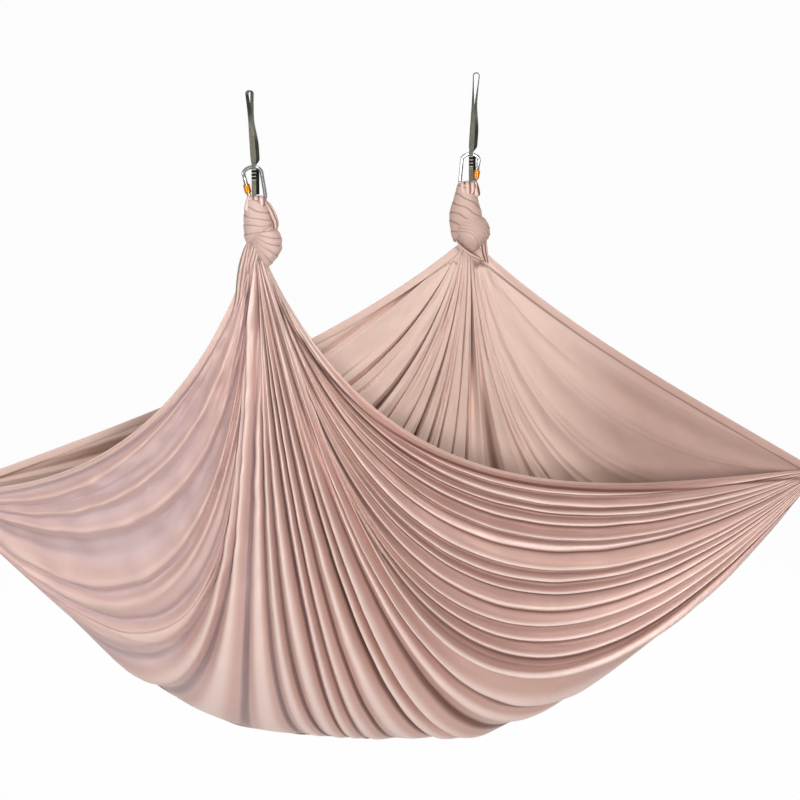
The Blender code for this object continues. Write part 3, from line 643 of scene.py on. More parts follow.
@once
def cloth_finish(name, matt_shade_share):
    """Satin tricot: a knitted satin face and a matt back, with painted shade, darker and redder,
    deep in its folds, a painted highlight on its crests, painted cool light towards the left of
    the satin face and painted shade towards the right of the matt face. The matt colour is
    dimmed by the share, as painted shade."""
    held = bpy.context.scene.hammock_cloth
    pale = times(held.inside, matt_shade_share)
    graph = Graph(name)
    fold, inside = graph.attribute("fold"), graph.attribute("inside")
    across, along = graph.pattern()
    here = graph.node("ShaderNodeTexCoord", output="Object")
    spot = graph.node("ShaderNodeSeparateXYZ", {}, {0: here}, "X")
    knit = graph.waves(across, WALE_PITCH) * 0.6 + graph.waves(along, COURSE_PITCH) * 0.4
    crumple = graph.noise(graph.place((1, 1, 0.6)), 38, 4, 0.55)
    mottle = graph.noise(graph.place((1, 1, 1)), 3.2, 2, 0.5)
    # painted cool light: lilac towards the left of the satin, away from the crests
    painted_cool_light = graph.ramp(spot, 0.30, -0.25) * (0.35 + 0.9 * mottle) * graph.ramp(fold, 0.9, 0.5)
    # painted shade: low tones, deep in the folds, take the shade colour
    satin = graph.blend(graph.ramp(fold, 0.12, 0.62), tuple(held.shade), tuple(held.outside))
    # painted highlight: crests with a high tone turn paler
    satin = graph.blend(graph.ramp(fold, 0.68, 1.0) * 0.80, satin, CREST_HIGHLIGHT)
    satin = graph.blend(painted_cool_light * 0.7, satin, tuple(held.lilac_light))
    satin = graph.blend(mottle * 0.12, satin, PATCH)
    # painted shade: low tones of the matt face, in slits and deep folds, take a colour near the
    # shade colour
    deep = tuple(0.08 * x + 0.92 * y for x, y in zip(pale, held.shade))
    # painted shade: the matt face grows darker towards the right
    shaded_inside = tuple(x * y for x, y in zip(pale, (0.66, 0.58, 0.57)))
    matt = graph.blend(graph.ramp(spot, 0.72, 1.10), pale, shaded_inside)
    matt = graph.blend(graph.ramp(fold, 0.0, 0.45), deep, matt)
    base = graph.blend(inside, satin, matt)
    base = graph.blend(graph.ramp(knit, 0.4, 1.0) * 0.10, base, STITCH)
    rough = (0.36 + 0.14 * crumple) * (1 - inside) + 0.78 * inside
    dents = graph.bump(crumple, 0.003, 0.5)
    return graph.finish(
        Base_Color=base,
        Roughness=rough,
        Metallic=0.38 * (1 - inside),
        Normal=graph.bump(knit, 0.00025, 0.35, dents),
        Sheen_Weight=0.30,
        Sheen_Roughness=0.45,
        Sheen_Tint=SHEEN,
    )


@once
def webbing_finish(name, main):
    """Flat woven webbing: ribs along it, slanted picks across them, pale wear and dark shade."""
    graph = Graph(name)
    across, along = graph.pattern()
    slant = graph.waves(across, 2 * RIB_PITCH) * PICK_SLANT
    weave = graph.waves(across, RIB_PITCH) * 0.5 + graph.waves(along + slant, PICK_PITCH) * 0.5
    wear = graph.noise(graph.place((1, 1, 0.4)), 160, 4, 0.6)
    pale = tuple(min(1, 1.55 * x + 0.01) for x in main)
    base = graph.blend(graph.ramp(weave, -0.8, 0.9), times(main, 0.45), tuple(main))
    base = graph.blend(graph.ramp(wear, 0.45, 0.75) * 0.55, base, pale)
    shaded = 1 - graph.ramp(graph.attribute("fold"), 0.0, 0.45)
    base = graph.blend(0.9 * shaded, base, times(main, 0.10))
    return graph.finish(
        Base_Color=base,
        Roughness=0.62 + 0.25 * wear,
        Normal=graph.bump(weave, 0.0003, 0.7),
        Specular_IOR_Level=0.15,
        Sheen_Weight=0.04,
    )


@once
def metal_finish(name, main, rough, grain=1.0, clear=0.0):
    """Polished or anodised metal with fine drawn scratches and slightly dull patches."""
    graph = Graph(name)
    scratches = graph.noise(graph.place((900, 900, 60)), 1.0, 3, 0.6)
    patches = graph.noise(graph.place((1, 1, 1)), 90, 3, 0.5)
    base = graph.blend(graph.ramp(patches, 0.5, 0.8) * 0.5, tuple(main), times(main, 0.72))
    base = graph.blend(graph.ramp(scratches, 0.62, 0.75) * 0.25, base, SCRATCH)
    return graph.finish(
        Base_Color=base,
        Roughness=rough + 0.07 * patches + 0.04 * scratches,
        Metallic=1.0 - 0.1 * patches,
        Coat_Weight=clear,
        Normal=graph.bump(scratches, 0.00003 * grain, 0.5),
    )


# Cloth


def keel_points(share):
    """Points on the cloth's lowest line, at shares of its length."""
    line = np.array([(x, CORNER_DEPTH, z) for x, z in KEEL])
    return limited(shares(line), line, share)


def between(table, at):
    """Straight lines through the pairs of a table."""
    return np.interp(at, [row[0] for row in table], [row[1] for row in table])


def smooth_panel(lines, start, facing, across, rows):
    """Cubic curves from the knot to the keel, one for each place across the sheet: Bernstein
    weights on a start, two control points and a foot on the keel, at even steps of length."""
    stations = np.array([line[0] for line in lines])
    keel_share, climb = (np.interp(across, stations, [line[k] for line in lines]) for k in (1, 2))
    upper = limited(stations, np.array([line[3] for line in lines]), across)
    lower = limited(stations, np.array([line[4] for line in lines]), across)
    foot = keel_points(keel_share)
    foot[:, 1] -= facing * 0.6 * OVERLAP
    foot[:, 2] += CORNER_RISE * climb
    t = np.linspace(0, 1, 4 * rows)[None, :, None]
    curves = (
        (1 - t) ** 3 * start[:, None]
        + 3 * (1 - t) ** 2 * t * upper[:, None]
        + 3 * (1 - t) * t**2 * lower[:, None]
        + t**3 * foot[:, None]
    )
    steps = np.linalg.norm(np.diff(curves, axis=1), axis=2)
    run = np.concatenate([np.zeros((len(across), 1)), np.cumsum(steps, axis=1)], axis=1)
    run /= run[:, -1:]
    wanted = np.linspace(0, 1, rows) ** ROW_POWER
    low = np.clip((run[:, None, :] <= wanted[None, :, None]).sum(axis=2) - 1, 0, t.size - 2)
    line = np.arange(len(across))[:, None]
    part = (wanted[None, :] - run[line, low]) / (run[line, low + 1] - run[line, low])
    return curves[line, low] + (curves[line, low + 1] - curves[line, low]) * part[..., None], wanted


def knot_start(neck, across, aside):
    """Where the folds leave the knot: half a ring inside it, the leftmost folds set aside."""
    angle = np.pi * (1.06 - 1.12 * across)
    ring = np.stack([np.cos(angle), -np.sin(angle), 0 * angle], axis=1) * NECK_RADIUS * NECK_SHARE
    apart = 1 - smoothstep(0.0, ASIDE_SHARE, across)
    return np.array(neck) + (0, 0, NECK_DEPTH) + ring + apart[:, None] * np.array(aside)


def outward(surface, facing):
    """Unit normals of a grid of points on the outside of the hammock, evened out across."""
    normal = unit(np.cross(np.gradient(surface, axis=1), np.gradient(surface, axis=0)))
    normal *= np.sign(normal[..., 1].mean()) * facing
    wide = np.pad(normal, ((EVEN_REACH, EVEN_REACH), (0, 0), (0, 0)), mode="edge")
    total = np.cumsum(np.pad(wide, ((1, 0), (0, 0), (0, 0))), axis=0)
    return unit(total[2 * EVEN_REACH + 1 :] - total[: -2 * EVEN_REACH - 1])


def wandering(seed, places, spread):
    """Smooth random values over fold numbers: a cubic through one random value per fold."""
    source = np.random.default_rng(seed)
    knots = np.arange(-2.0, 62.0)
    values = source.uniform(-spread, spread, (len(knots), 1))
    return flowing(knots, values, places.ravel())[:, 0].reshape(places.shape)


def crumpled(seed, wide, long):
    """Small dents: a sum of sine waves that run every way over the cloth, 40 to 160 mm long."""
    source = np.random.default_rng(seed)
    total = np.zeros_like(wide)
    for _ in range(CRUMPLES):
        turn, length = source.uniform(0, np.pi), source.uniform(0.04, 0.16)
        phase = source.uniform(0, 2 * np.pi)
        run = wide * np.cos(turn) + long * np.sin(turn)
        total += length * np.sin(2 * np.pi * run / length + phase)
    return total / 0.4


def slit_gap(count, down):
    """1 in the middle of the slit between two bands and 0 away from it. Slits widen downwards."""
    share = SLIT_SHARE * (0.65 + 1.2 * down) * (1 + wandering(5, count, 0.6))
    return 1 - smoothstep(0.0, 1.0, np.abs(count % 1 - 0.5) / share)


def fold_profile(count, thin, slit, down):
    """Height over one fold: a roll, the root of a squared cosine; a thin ridge, a bell curve
    over a shallow wave; or a flat band with a narrow slit beside it."""
    roll = np.abs(np.cos(np.pi * count)) ** 0.9
    away = count - np.round(count)
    ridge = 0.72 * np.exp(-((away / RIDGE_SHARE) ** 2)) + 0.28 * np.cos(np.pi * away)
    return roll * (1 - thin - slit) + ridge * thin + slit_gap(count, down) * slit


def fold_tones(count, thin, slit, lean, down):
    """Painted shade and highlight of each place, outside and inside, from 0 deep in a fold to 1
    on a crest. A thin ridge has painted shade only close under its lower side."""
    away = count - np.round(count)
    ridge = 0.45 + 0.6 * np.exp(-((away / RIDGE_SHARE) ** 2))
    ridge -= 0.42 * np.exp(-(((away - 0.22 * np.sign(lean)) / 0.12) ** 2))
    round_top = np.abs(np.cos(np.pi * count))
    roll = 0.68 * np.clip((round_top - 0.08) / 0.38, 0, 1) + 0.32 * round_top**3
    gap = slit_gap(count, down)
    rounded = roll * (1 - thin - slit) + ridge * thin
    outer = rounded + (0.5 + 0.5 * gap) * slit
    inner = (1 - slit) * (1 - 0.6 * roll) + (1 - gap) * slit
    return np.clip(outer, 0, 1), np.clip(inner, 0, 1)


def draped(lines, neck, aside, facing, folds, height, hem_width):
    """The folded surface. Folds are counted across the sheet, with a roll at each whole number,
    and each place is moved out by the profile of its fold. Rolls lean down the slope. Heights
    and places wander from one fold to the next, and towards the knot the folds gather into
    bundles of a few. Each place gets a tone of painted shade and highlight, and a painted
    shadow runs along the foot of each hem."""
    seed = folds["seed"]
    stations, counts = (np.array([row[k] for row in folds["counts"]]) for k in (0, 1))
    fine = np.linspace(0, 1, 4001)
    number = limited(stations, counts[:, None], fine)[:, 0]
    even = np.linspace(0, number[-1], CLOTH_COLUMNS)
    across = np.interp(even, number, fine)
    start = knot_start(neck, across, aside)
    surface, down = smooth_panel(lines, start, facing, across, CLOTH_ROWS)
    normal = outward(surface, facing)
    along = unit(np.gradient(surface, axis=1))
    sideways = np.gradient(surface, axis=0)
    sideways -= (sideways * along).sum(axis=2, keepdims=True) * along
    spacing = np.linalg.norm(sideways, axis=2) * (CLOTH_COLUMNS - 1) / number[-1]
    sideways = unit(sideways)
    # Fold numbers across, shares of the way down and of the width, and how the folds stray
    u = even[:, None] + 0 * down[None, :]
    v = down[None, :] + 0 * even[:, None]
    place = across[:, None] + 0 * v
    shift = wandering(seed, u, STRAY) * np.sin(2.4 * v + wandering(seed + 1, u, 2.2))
    off_hem = smoothstep(0, 1.2, u) * smoothstep(0, 1.2, number[-1] - u)
    u = u + shift * smoothstep(0.05, 0.4, v) * off_hem
    # Profiles and tones of single folds, and of the bundles near the knot
    thin, slit = between(folds["thin"], place), between(folds["slits"], place)
    middle = (0.55 - 0.15 * thin) * (1 - slit) + 0.12 * slit
    crest = fold_profile(u, thin, slit, v)
    droop = 1 - 2 * smoothstep(0.22, 0.62, place)
    fine_tones = fold_tones(u, thin, slit, droop, v)
    bundle = folds["bundle"]
    bunched = fold_profile(u / bundle + 0.2, 0 * thin, slit, v)
    bunch_tones = fold_tones(u / bundle + 0.2, 0 * thin, slit, droop, v)
    # Heights, less at the keel and at the neck
    tall = 1 + wandering(seed + 3, u, UNEVEN) + 0.22 * np.sin(5 * v + wandering(seed + 4, u, 3.0))
    opened = smoothstep(0.04, 0.42, v + wandering(seed + 5, u, 0.14))
    least = NARROWING * height
    fine_rise = tall * (crest - middle) * spacing / (spacing + least)
    bunch_rise = (bunched - middle) * bundle * spacing / (bundle * spacing + least)
    rise = opened * fine_rise + (1 - opened) * bunch_rise
    fade = (1 - 0.95 * v**5) * np.clip(v / 0.10, 0.25, 1)
    offset = rise * height * between(folds["height"], place) * fade * FOLD_GAIN
    dents = crumpled(seed + 6, place * SHEET_FLAT[0], v * SHEET_FLAT[1])
    offset += dents * between(folds["dents"], place) * fade * off_hem
    lean = LEAN * droop * offset * off_hem
    folded = surface + normal * offset[..., None] + sideways * lean[..., None]
    # Tones, with a painted shadow along the foot of each hem
    tones = [opened * one + (1 - opened) * other for one, other in zip(fine_tones, bunch_tones)]
    tones = [0.6 + (tone - 0.6) * between(folds["contrast"], place) for tone in tones]
    from_edge = np.minimum(even, number[-1] - even)[:, None] * spacing
    hem_shadow = 1 - 0.8 * np.exp(-(((from_edge - hem_width) / HEM_SHADOW) ** 2))
    tones = [tone * hem_shadow for tone in tones]
    return folded, normal, tones, across, down


def panel_shell(folded, normal, tones, across, down, facing):
    """The folded surface as a thin closed shell, with its matt face inside."""
    outer = folded + normal * CLOTH_THICKNESS / 2
    inner = folded - normal * CLOTH_THICKNESS / 2
    limit = CORNER_DEPTH - facing * OVERLAP
    for side in (outer, inner):
        side[..., 1] = facing * np.maximum(facing * side[..., 1], facing * limit)
    shell = Shell()
    flat = np.meshgrid(across * SHEET_FLAT[0], down * SHEET_FLAT[1], indexing="ij")
    uv = np.stack(flat, axis=-1)
    front = shell.grid(outer, uv, 0.0, tones[0], flip=facing < 0)
    back = shell.grid(inner, uv, 1.0, tones[1], flip=facing > 0)
    for one, other, line in (
        (front[0], back[0], uv[0]),
        (front[-1], back[-1], uv[-1]),
        (front[:, 0], back[:, 0], uv[:, 0]),
        (front[:, -1], back[:, -1], uv[:, -1]),
    ):
        shell.bridge(one, other, line)
    return shell


def hem(shell, edge, inward, normal, width):
    """A folded hem: a flat oval carried along the sheet's edge, half of it over the cloth."""
    path = edge + inward * width * HEM_INSET
    around = np.linspace(0, 2 * np.pi, HEM_SIDES + 1)[:-1]
    wide = signed_power(np.cos(around), 0.6) * width / 2
    thick = signed_power(np.sin(around), 0.8) * HEM_THICKNESS / 2
    rings = path[:, None] + inward[:, None] * wide[:, None] + normal[:, None] * thick[:, None]
    turn = np.linspace(0, 2 * width, HEM_SIDES + 1)
    uv = grid_uv(turn, np.linspace(0, path_length(path), len(path)))
    shell.tube(rings, uv, fold=HEM_TONE, inside=HEM_MATT)


def make_panel(name, lines, neck, aside, facing, folds):
    held = bpy.context.scene.hammock_cloth
    shape = draped(lines, neck, aside, facing, folds, held.fold_height, held.hem_width)
    folded, normal = shape[:2]
    shell = panel_shell(*shape, facing)
    panel = shell.build(f"{name}_cloth", cloth_finish("satin_tricot", 1.0))
    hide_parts(f"{name}_panel")
    for side, edge, beside in (("left", 0, 4), ("right", -1, -5)):
        inward = unit(folded[beside] - folded[edge])[HEM_RUN]
        trim = Shell()
        hem(trim, folded[edge][HEM_RUN], inward, normal[edge][HEM_RUN], held.hem_width)
        trim.build(f"{name}_{side}_hem", cloth_finish("satin_tricot", 1.0))


class HAMMOCK_OT_front_cloth(bpy.types.Operator):
    """Builds the near half of the sheet, which hangs from the near knot, and its hems"""

    bl_idname = "hammock.front_cloth"
    bl_label = "Front cloth"

    def execute(self, context):
        make_panel("front", FRONT_LINES, NEAR_NECK, NEAR_ASIDE, -1, FRONT_FOLDS)
        return {"FINISHED"}


class HAMMOCK_OT_rear_cloth(bpy.types.Operator):
    """Builds the far half of the sheet, which hangs from the far knot, and its hems"""

    bl_idname = "hammock.rear_cloth"
    bl_label = "Rear cloth"

    def execute(self, context):
        make_panel("rear", REAR_LINES, FAR_NECK, FAR_ASIDE, 1, REAR_FOLDS)
        return {"FINISHED"}


# Knots and loops


# Each knot's place in the picture: a column and row, the place in mm that they show, and how
# many mm a column and a row stand for
PICTURES = {
    "near": ((250.7, 165), (0, 0, -192.5), (2.6, 2.625)),
    "far": ((469.7, 150), (583, 550, -212), (2.77, 2.787)),
}


def knot_place(name, column, row, depth):
    """A place on a knot from how far right and down it lies in the picture, and its depth."""
    (middle, level), (x, y, z), (wide, high) = PICTURES[name]
    across, down = (column - middle) * wide, (row - level) * high
    return ((x + across) * MM, (y + depth) * MM, (z - down) * MM)


# Each part of a knot, as rows down the picture: row, left and right column, and half its depth
# in mm. Its creases are where the value of its pattern passes a whole number
NEAR_CROWN = [
    (197.5, 248.5, 262.0, 13),
    (199.0, 246.6, 263.5, 19),
    (204.0, 245.2, 266.5, 25),
    (210.0, 244.4, 269.6, 29),
    (217.0, 243.9, 272.0, 32),
    (224.0, 243.7, 273.0, 33),
    (229.0, 243.8, 271.5, 32),
    (234.0, 244.0, 266.0, 27),
    (239.0, 245.0, 260.0, 19),
    (243.0, 246.5, 252.0, 9),
    (244.5, 247.8, 249.5, 4),
]
NEAR_LOBE = [
    (225.0, 263.0, 271.0, 16),
    (227.0, 260.0, 274.0, 24),
    (231.0, 256.0, 278.5, 31),
    (236.0, 252.0, 281.5, 35),
    (242.0, 250.3, 282.4, 37),
    (248.0, 251.5, 282.0, 36),
    (254.0, 255.0, 279.5, 33),
    (260.0, 259.5, 275.0, 26),
    (264.5, 263.0, 271.0, 17),
    (266.5, 265.5, 268.5, 7),
]
FAR_CROWN = [
    (182.0, 459.5, 471.0, 11),
    (184.0, 457.5, 474.0, 17),
    (190.0, 455.8, 476.0, 22),
    (198.0, 453.6, 477.8, 27),
    (205.0, 451.4, 479.8, 30),
    (211.0, 449.8, 481.5, 31),
    (218.0, 449.3, 482.5, 30),
    (224.0, 449.8, 480.5, 27),
    (231.0, 450.8, 474.0, 22),
    (237.0, 452.0, 466.0, 15),
    (241.5, 454.0, 459.0, 6),
]
FAR_LOBE = [
    (212.5, 464.0, 476.0, 15),
    (215.5, 459.5, 481.5, 25),
    (220.0, 456.5, 486.5, 32),
    (226.0, 455.6, 489.5, 36),
    (233.0, 455.8, 490.3, 37),
    (239.0, 457.8, 487.8, 35),
    (245.0, 462.0, 482.0, 28),
    (250.0, 467.0, 477.0, 17),
    (252.5, 470.3, 473.5, 7),
]


def arcs(column, row):
    """Wraps that fall to the right on top and rise to the right at the bottom."""
    fall = np.interp(row, (202, 215, 236), (9, 7, -9)) * (column - 246) / 22
    return (row - 205 - fall) / 9.5 + 4


def near_fan(column, row):
    """Folds that spread from the lower left of the crown: the angle round that place."""
    turn = np.arctan2(row - 232.5, np.maximum(column - 246, 0.5))
    return turn / math.radians(13.5) + 9.45


def slants(column, row):
    """Wraps that run down to the right."""
    return (row - 0.5 * (column - 452) - 0.012 * (column - 465) ** 2) / 9.5 + 3


def rounds(column, row):
    """Folds that follow the top and right of the lobe: the distance from its lower left."""
    away = np.hypot(column - 462, (row - 244) * 1.12)
    return np.maximum(away, 14.2) / 3.3


# Gathered bands beside the near knot, from the crown's right side and down its left: places as
# column and row in the picture and depth in mm, width's direction, half sizes in mm, pleats
NEAR_STRANDS = [
    (
        [(262, 198, 6), (268.5, 207, 2), (273, 216, -2), (275.5, 224, -5), (274, 232, -6)],
        (1, 0.2, 0.3),
        [(6, 8), (10, 14), (11, 18), (9, 18), (5, 10)],
        2,
    ),
    (
        [
            (249, 240, -4),
            (246, 251, -8),
            (242.5, 266, -4),
            (240, 282, 4),
            (237.5, 300, 10),
            (231, 318, 18),
        ],
        (1, -0.3, 0.2),
        [(6, 6), (9, 8), (11, 9), (11, 8), (9, 7), (5, 4)],
        2,
    ),
    (
        [(252, 241, 0), (249, 254, 0), (245.5, 268, 4), (242, 284, 10), (239, 304, 16)],
        (1, 0.2, 0.2),
        [(8, 8), (12, 10), (13, 10), (12, 8), (8, 5)],
        3,
    ),
    (
        [(256, 242, -12), (255, 252, -14), (252, 262, -10), (250, 276, 4)],
        (1, 0, 0.2),
        [(9, 8), (13, 10), (14, 9), (9, 6)],
        3,
    ),
]
FAR_STRANDS = [
    (
        [(456, 238, -20), (462, 245, -31), (469, 251, -33), (477, 256, -24), (485, 261, -8)],
        (-0.3, 0.1, 1),
        [(4, 4), (5, 5), (6, 5), (6, 5), (4, 4)],
        1,
    ),
    (
        [(482, 232, 0), (484, 243, -2), (485.5, 254, -2), (488, 264, 0)],
        (1, 0, 0.2),
        [(8, 10), (9, 10), (8, 8), (6, 6)],
        2,
    ),
]

# Parts of each knot: outline, how far back it lies, pattern, height of the overlaps and of the
# fine pleats in mm, and pleats in each wrap. Then its strands
KNOTS = {
    "near": (
        [(NEAR_CROWN, 0, arcs, 2.6, 0.35, 3), (NEAR_LOBE, 2, near_fan, 3.4, 0.7, 2)],
        NEAR_STRANDS,
    ),
    "far": (
        [(FAR_CROWN, 0, slants, 1.3, 0.3, 3), (FAR_LOBE, -2, rounds, 2.4, 0.5, 1)],
        FAR_STRANDS,
    ),
}
KNOT_ROWS = 130
KNOT_SIDES = 200
STRAND_PLEAT = 1.2 * MM


def lapped(value):
    """Overlapping edges at whole numbers: a quick round rise, then a slow fall under the next."""
    part = value - np.floor(value)
    lip = np.sqrt(1 - (1 - np.minimum(part / 0.16, 1)) ** 2)
    return lip * (1 - 0.8 * part)


def knot_part(shell, name, outline, back, pattern, overlap, fine, pleats):
    """A closed body of squared ellipses, stacked down the outline, with its surface moved out
    by overlapping wraps and by fine pleats, the sine of the pattern times a whole number."""
    table = np.array(outline, float)
    down = np.linspace(0, 1, KNOT_ROWS)
    rows = np.linspace(table[0, 0], table[-1, 0], KNOT_ROWS)
    left, right, deep = limited(table[:, 0], table[:, 1:], rows).T
    around = np.linspace(0, 2 * np.pi, KNOT_SIDES + 1)[:-1]
    cosine, sine = np.cos(around), np.sin(around)
    wide, tall = signed_power(cosine, 0.9), signed_power(sine, 0.9)
    column = (left + right)[:, None] / 2 + (right - left)[:, None] / 2 * wide
    level = rows[:, None] + 0 * column
    value = pattern(column, level) + 0.07 * np.sin(0.31 * level + 0.23 * column)
    edges = lapped(value)
    lines = np.abs(np.cos(np.pi * pleats * value)) ** 0.7
    calm = smoothstep(0, 0.08, down) * smoothstep(1, 0.92, down)
    out = (overlap * (edges - 0.6) + fine * (lines - 0.6)) * calm[:, None]
    x, y, z = knot_place(name, column, level, back + deep[:, None] * tall)
    flat = unit(np.stack([cosine * deep.mean(), sine * (right - left).mean() * 1.35], axis=1))
    points = np.stack([x, y + 0 * x, z + 0 * x], axis=-1)
    points[..., :2] += flat[None, :] * out[..., None] * MM
    uv = grid_uv(np.linspace(0, KNOT_SIDES * MM, KNOT_SIDES + 1), rows * KNOT_SCALE)
    # painted shade: darker along the creases between wraps and in the troughs of the fine pleats
    from_edge = np.minimum(value % 1, 1 - value % 1)
    crease_shade = (0.35 + 0.65 * smoothstep(0.02, 0.13, from_edge)) * (0.66 + 0.34 * lines)
    shell.tube(points, uv, fold=0.62 * crease_shade - 0.02, inside=KNOT_MATT)


class HAMMOCK_OT_knots(bpy.types.Operator):
    """Builds both knots: a crown of wraps, a lobe of fanned folds below it and loose strands"""

    bl_idname = "hammock.knots"
    bl_label = "Knots"

    def execute(self, context):
        for name, (parts, strands) in KNOTS.items():
            shell = Shell()
            for part in parts:
                knot_part(shell, name, *part)
            for points, across, half, pleats in strands:
                places = [knot_place(name, *point) for point in points]
                strand(shell, places, across, np.array(half) * MM, pleats, STRAND_PLEAT)
            # painted shade: a dimmed copy of the satin finish for the knots
            finish = cloth_finish("knotted_tricot", KNOT_SHADE)
            made = shell.build(f"{name}_knot_cloth", finish)
            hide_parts(f"{name}_fabric_knot")
        return {"FINISHED"}


# Middle of each carabiner's top bar, and which way its spine lies
BARS = {"near": (np.array(NEAR_BAR), 1), "far": (np.array(FAR_BAR), -1)}
# A cloth loop's arch over the foot of the carabiner: depth and level below the bar, from the
# outside to the top
ARCH = [
    (22 * MM, LOOP_END + 4 * MM),
    (16 * MM, LOOP_TOP + 20 * MM),
    (11 * MM, LOOP_TOP + 8 * MM),
]
# A flap beside it, in front and behind: how far it spreads, depth and level, and half sizes
FLAP = [
    (1.0, 9.5 * MM, LOOP_TOP + 1 * MM, (4.0 * MM, 2.6 * MM)),
    (1.0, 11 * MM, LOOP_TOP + 12 * MM, (7.0 * MM, 3.2 * MM)),
    (1.1, 15 * MM, LOOP_TOP + 24 * MM, (9.0 * MM, 4.0 * MM)),
    (1.2, 18 * MM, LOOP_END + 8 * MM, (10.0 * MM, 4.0 * MM)),
]
ARCH_ASIDE = 7.5 * MM
ARCH_HALF = (21.5 * MM, 4.4 * MM)
FLAP_ASIDE = -14 * MM


class HAMMOCK_OT_loops(bpy.types.Operator):
    """Builds the gathered cloth over the foot of each carabiner"""

    bl_idname = "hammock.loops"
    bl_label = "Loops"

    def execute(self, context):
        for name, (bar, side) in BARS.items():
            shell = Shell()
            x = side * ARCH_ASIDE
            arch = [(x, -depth, -level) for depth, level in ARCH]
            arch.append((x, 0, -(LOOP_TOP + 5 * MM)))
            arch += [(x, depth, -level) for depth, level in reversed(ARCH)]
            strand(shell, np.array(arch) + bar, (1, 0, 0), ARCH_HALF, 3, 0.5 * MM, sides=100)
            for front in (-1, 1):
                x = side * FLAP_ASIDE
                flap = [(x * wider, front * depth, -level) for wider, depth, level, _ in FLAP]
                half = [row[-1] for row in FLAP]
                strand(shell, np.array(flap) + bar, (1, 0, 0), half, 1, 0.3 * MM)
            made = shell.build(f"{name}_loop_cloth", cloth_finish("satin_tricot", 1.0))
            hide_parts(f"{name}_fabric_loop")
        return {"FINISHED"}


# Straps


LANES = 9  # points across each face of a band


def webbing_rings(middles, outs, acrosses, widths, cups, thickness):
    """Rings of a flat band with rounded edges: its middle line, the way its faces look and
    the way its width lies, bent to a cup that grows with the distance from the middle."""
    lane = np.linspace(-1, 1, LANES)
    edge = np.sqrt(np.clip(1 - lane**6, 0, 1)) * 0.86 + 0.14
    over = np.concatenate([lane, lane[::-1]])
    face = np.concatenate([-edge, edge[::-1]])
    wide = over[None, :] * widths[:, None] / 2
    rise = face[None, :] * thickness / 2 + cups[:, None] * np.abs(over[None, :]) ** 1.25
    return middles[:, None] + acrosses[:, None] * wide[..., None] + outs[:, None] * rise[..., None]


def band_uv(rings, width):
    """Pattern coordinates of a band: across its two faces, and along its middle line."""
    lane = np.linspace(0, width, LANES)
    turn = np.concatenate([lane, width * 1.2 + lane, [width * 2.4]])
    middles = rings.mean(axis=1)
    return grid_uv(turn, shares(middles) * path_length(middles))


LEG_STEPS = 60
BEND_STEPS = 21


def strap(name, hook, bar, turn, eye, finish):
    """The loop of webbing: over the hook, down in two legs that turn by a quarter, and
    cupped under the carabiner's bar. The rear leg slips a little to one side, the legs meet
    at the foot of the eye, and each leg is darker where the other shades it."""
    hook_middle = np.array(hook) + (0, 0, -HOOK_RADIUS)
    bar = np.array(bar)
    half = WEBBING_THICKNESS / 2
    at_hook, at_bar = HOOK_RADIUS + half, ROD_RADIUS + CROOK_GAP + half

    def leg(share):
        """Middle line, way out and distance from it, down the strap."""
        opening = np.maximum(0, 1 - share / eye) ** 1.3
        closing = np.maximum(0, (share - 0.86) / 0.14) ** 1.5
        gap = LEG_SPREAD + (at_hook - LEG_SPREAD) * opening + (at_bar - LEG_SPREAD) * closing
        angle = turn + (np.pi / 2 - turn) * smoothstep(0, 1, share)
        out = np.stack([np.cos(angle), np.sin(angle), 0 * angle], axis=1)
        return hook_middle + (bar - hook_middle) * share[:, None], out, gap

    down = np.linspace(0, 1, LEG_STEPS)[1:-1]
    bend = np.linspace(0, np.pi, BEND_STEPS)
    start, out, gap = leg(down)
    end_out = np.array((0.0, 1.0, 0.0))
    top_out = np.array((math.cos(turn), math.sin(turn), 0.0))
    below = np.array((0.0, 0.0, -1.0))
    crook = end_out * np.cos(bend)[:, None] + below * np.sin(bend)[:, None]
    over = -top_out * np.cos(bend)[:, None] - below * np.sin(bend)[:, None]
    outs = np.concatenate([out, crook, -out[::-1], over])
    rear = start + out * gap[:, None]
    rear[:, 0] += LEG_SLIP * smoothstep(0.3, 0.75, down) * smoothstep(1.0, 0.90, down)
    front = start - out * gap[:, None]
    top = hook_middle + over * at_hook
    middles = np.concatenate([rear, bar + crook * at_bar, front[::-1], top])
    share = np.concatenate([down, 1 + np.sin(bend), down[::-1], 0 * bend])
    angle = turn + (np.pi / 2 - turn) * smoothstep(0, 1, share)
    across = np.stack([np.sin(angle), -np.cos(angle), 0 * angle], axis=1)
    bunched = smoothstep(CROOK_START, 1.0, share)
    width = WEBBING_WIDTH + (CROOK_WIDTH - WEBBING_WIDTH) * bunched
    cups = CROOK_CUP * np.maximum(0, share - 1)
    rings = webbing_rings(middles, outs, across, width, cups, WEBBING_THICKNESS)
    rings = np.concatenate([rings, rings[:1]])
    shell = Shell()
    # painted shade: each leg darker where the other shades it, darkest in the crook under the bar
    # and dark over the hook
    rear_tone = LIT * (1 - smoothstep(0.35, 0.75, down))
    front_tone = LIT * smoothstep(0.15, 0.55, down[::-1])
    tones = np.concatenate([rear_tone, 0 * bend, front_tone, 0 * bend + 0.3, [LIT]])
    shell.grid(rings, band_uv(rings, WEBBING_WIDTH), fold=tones[:, None], wrap=True)
    made = shell.build(f"{name}_strap", finish, "ceiling_straps", "webbing", 50)
    turn_outwards(made.data, weld=True)
    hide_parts(f"{name}_strap_webbing")


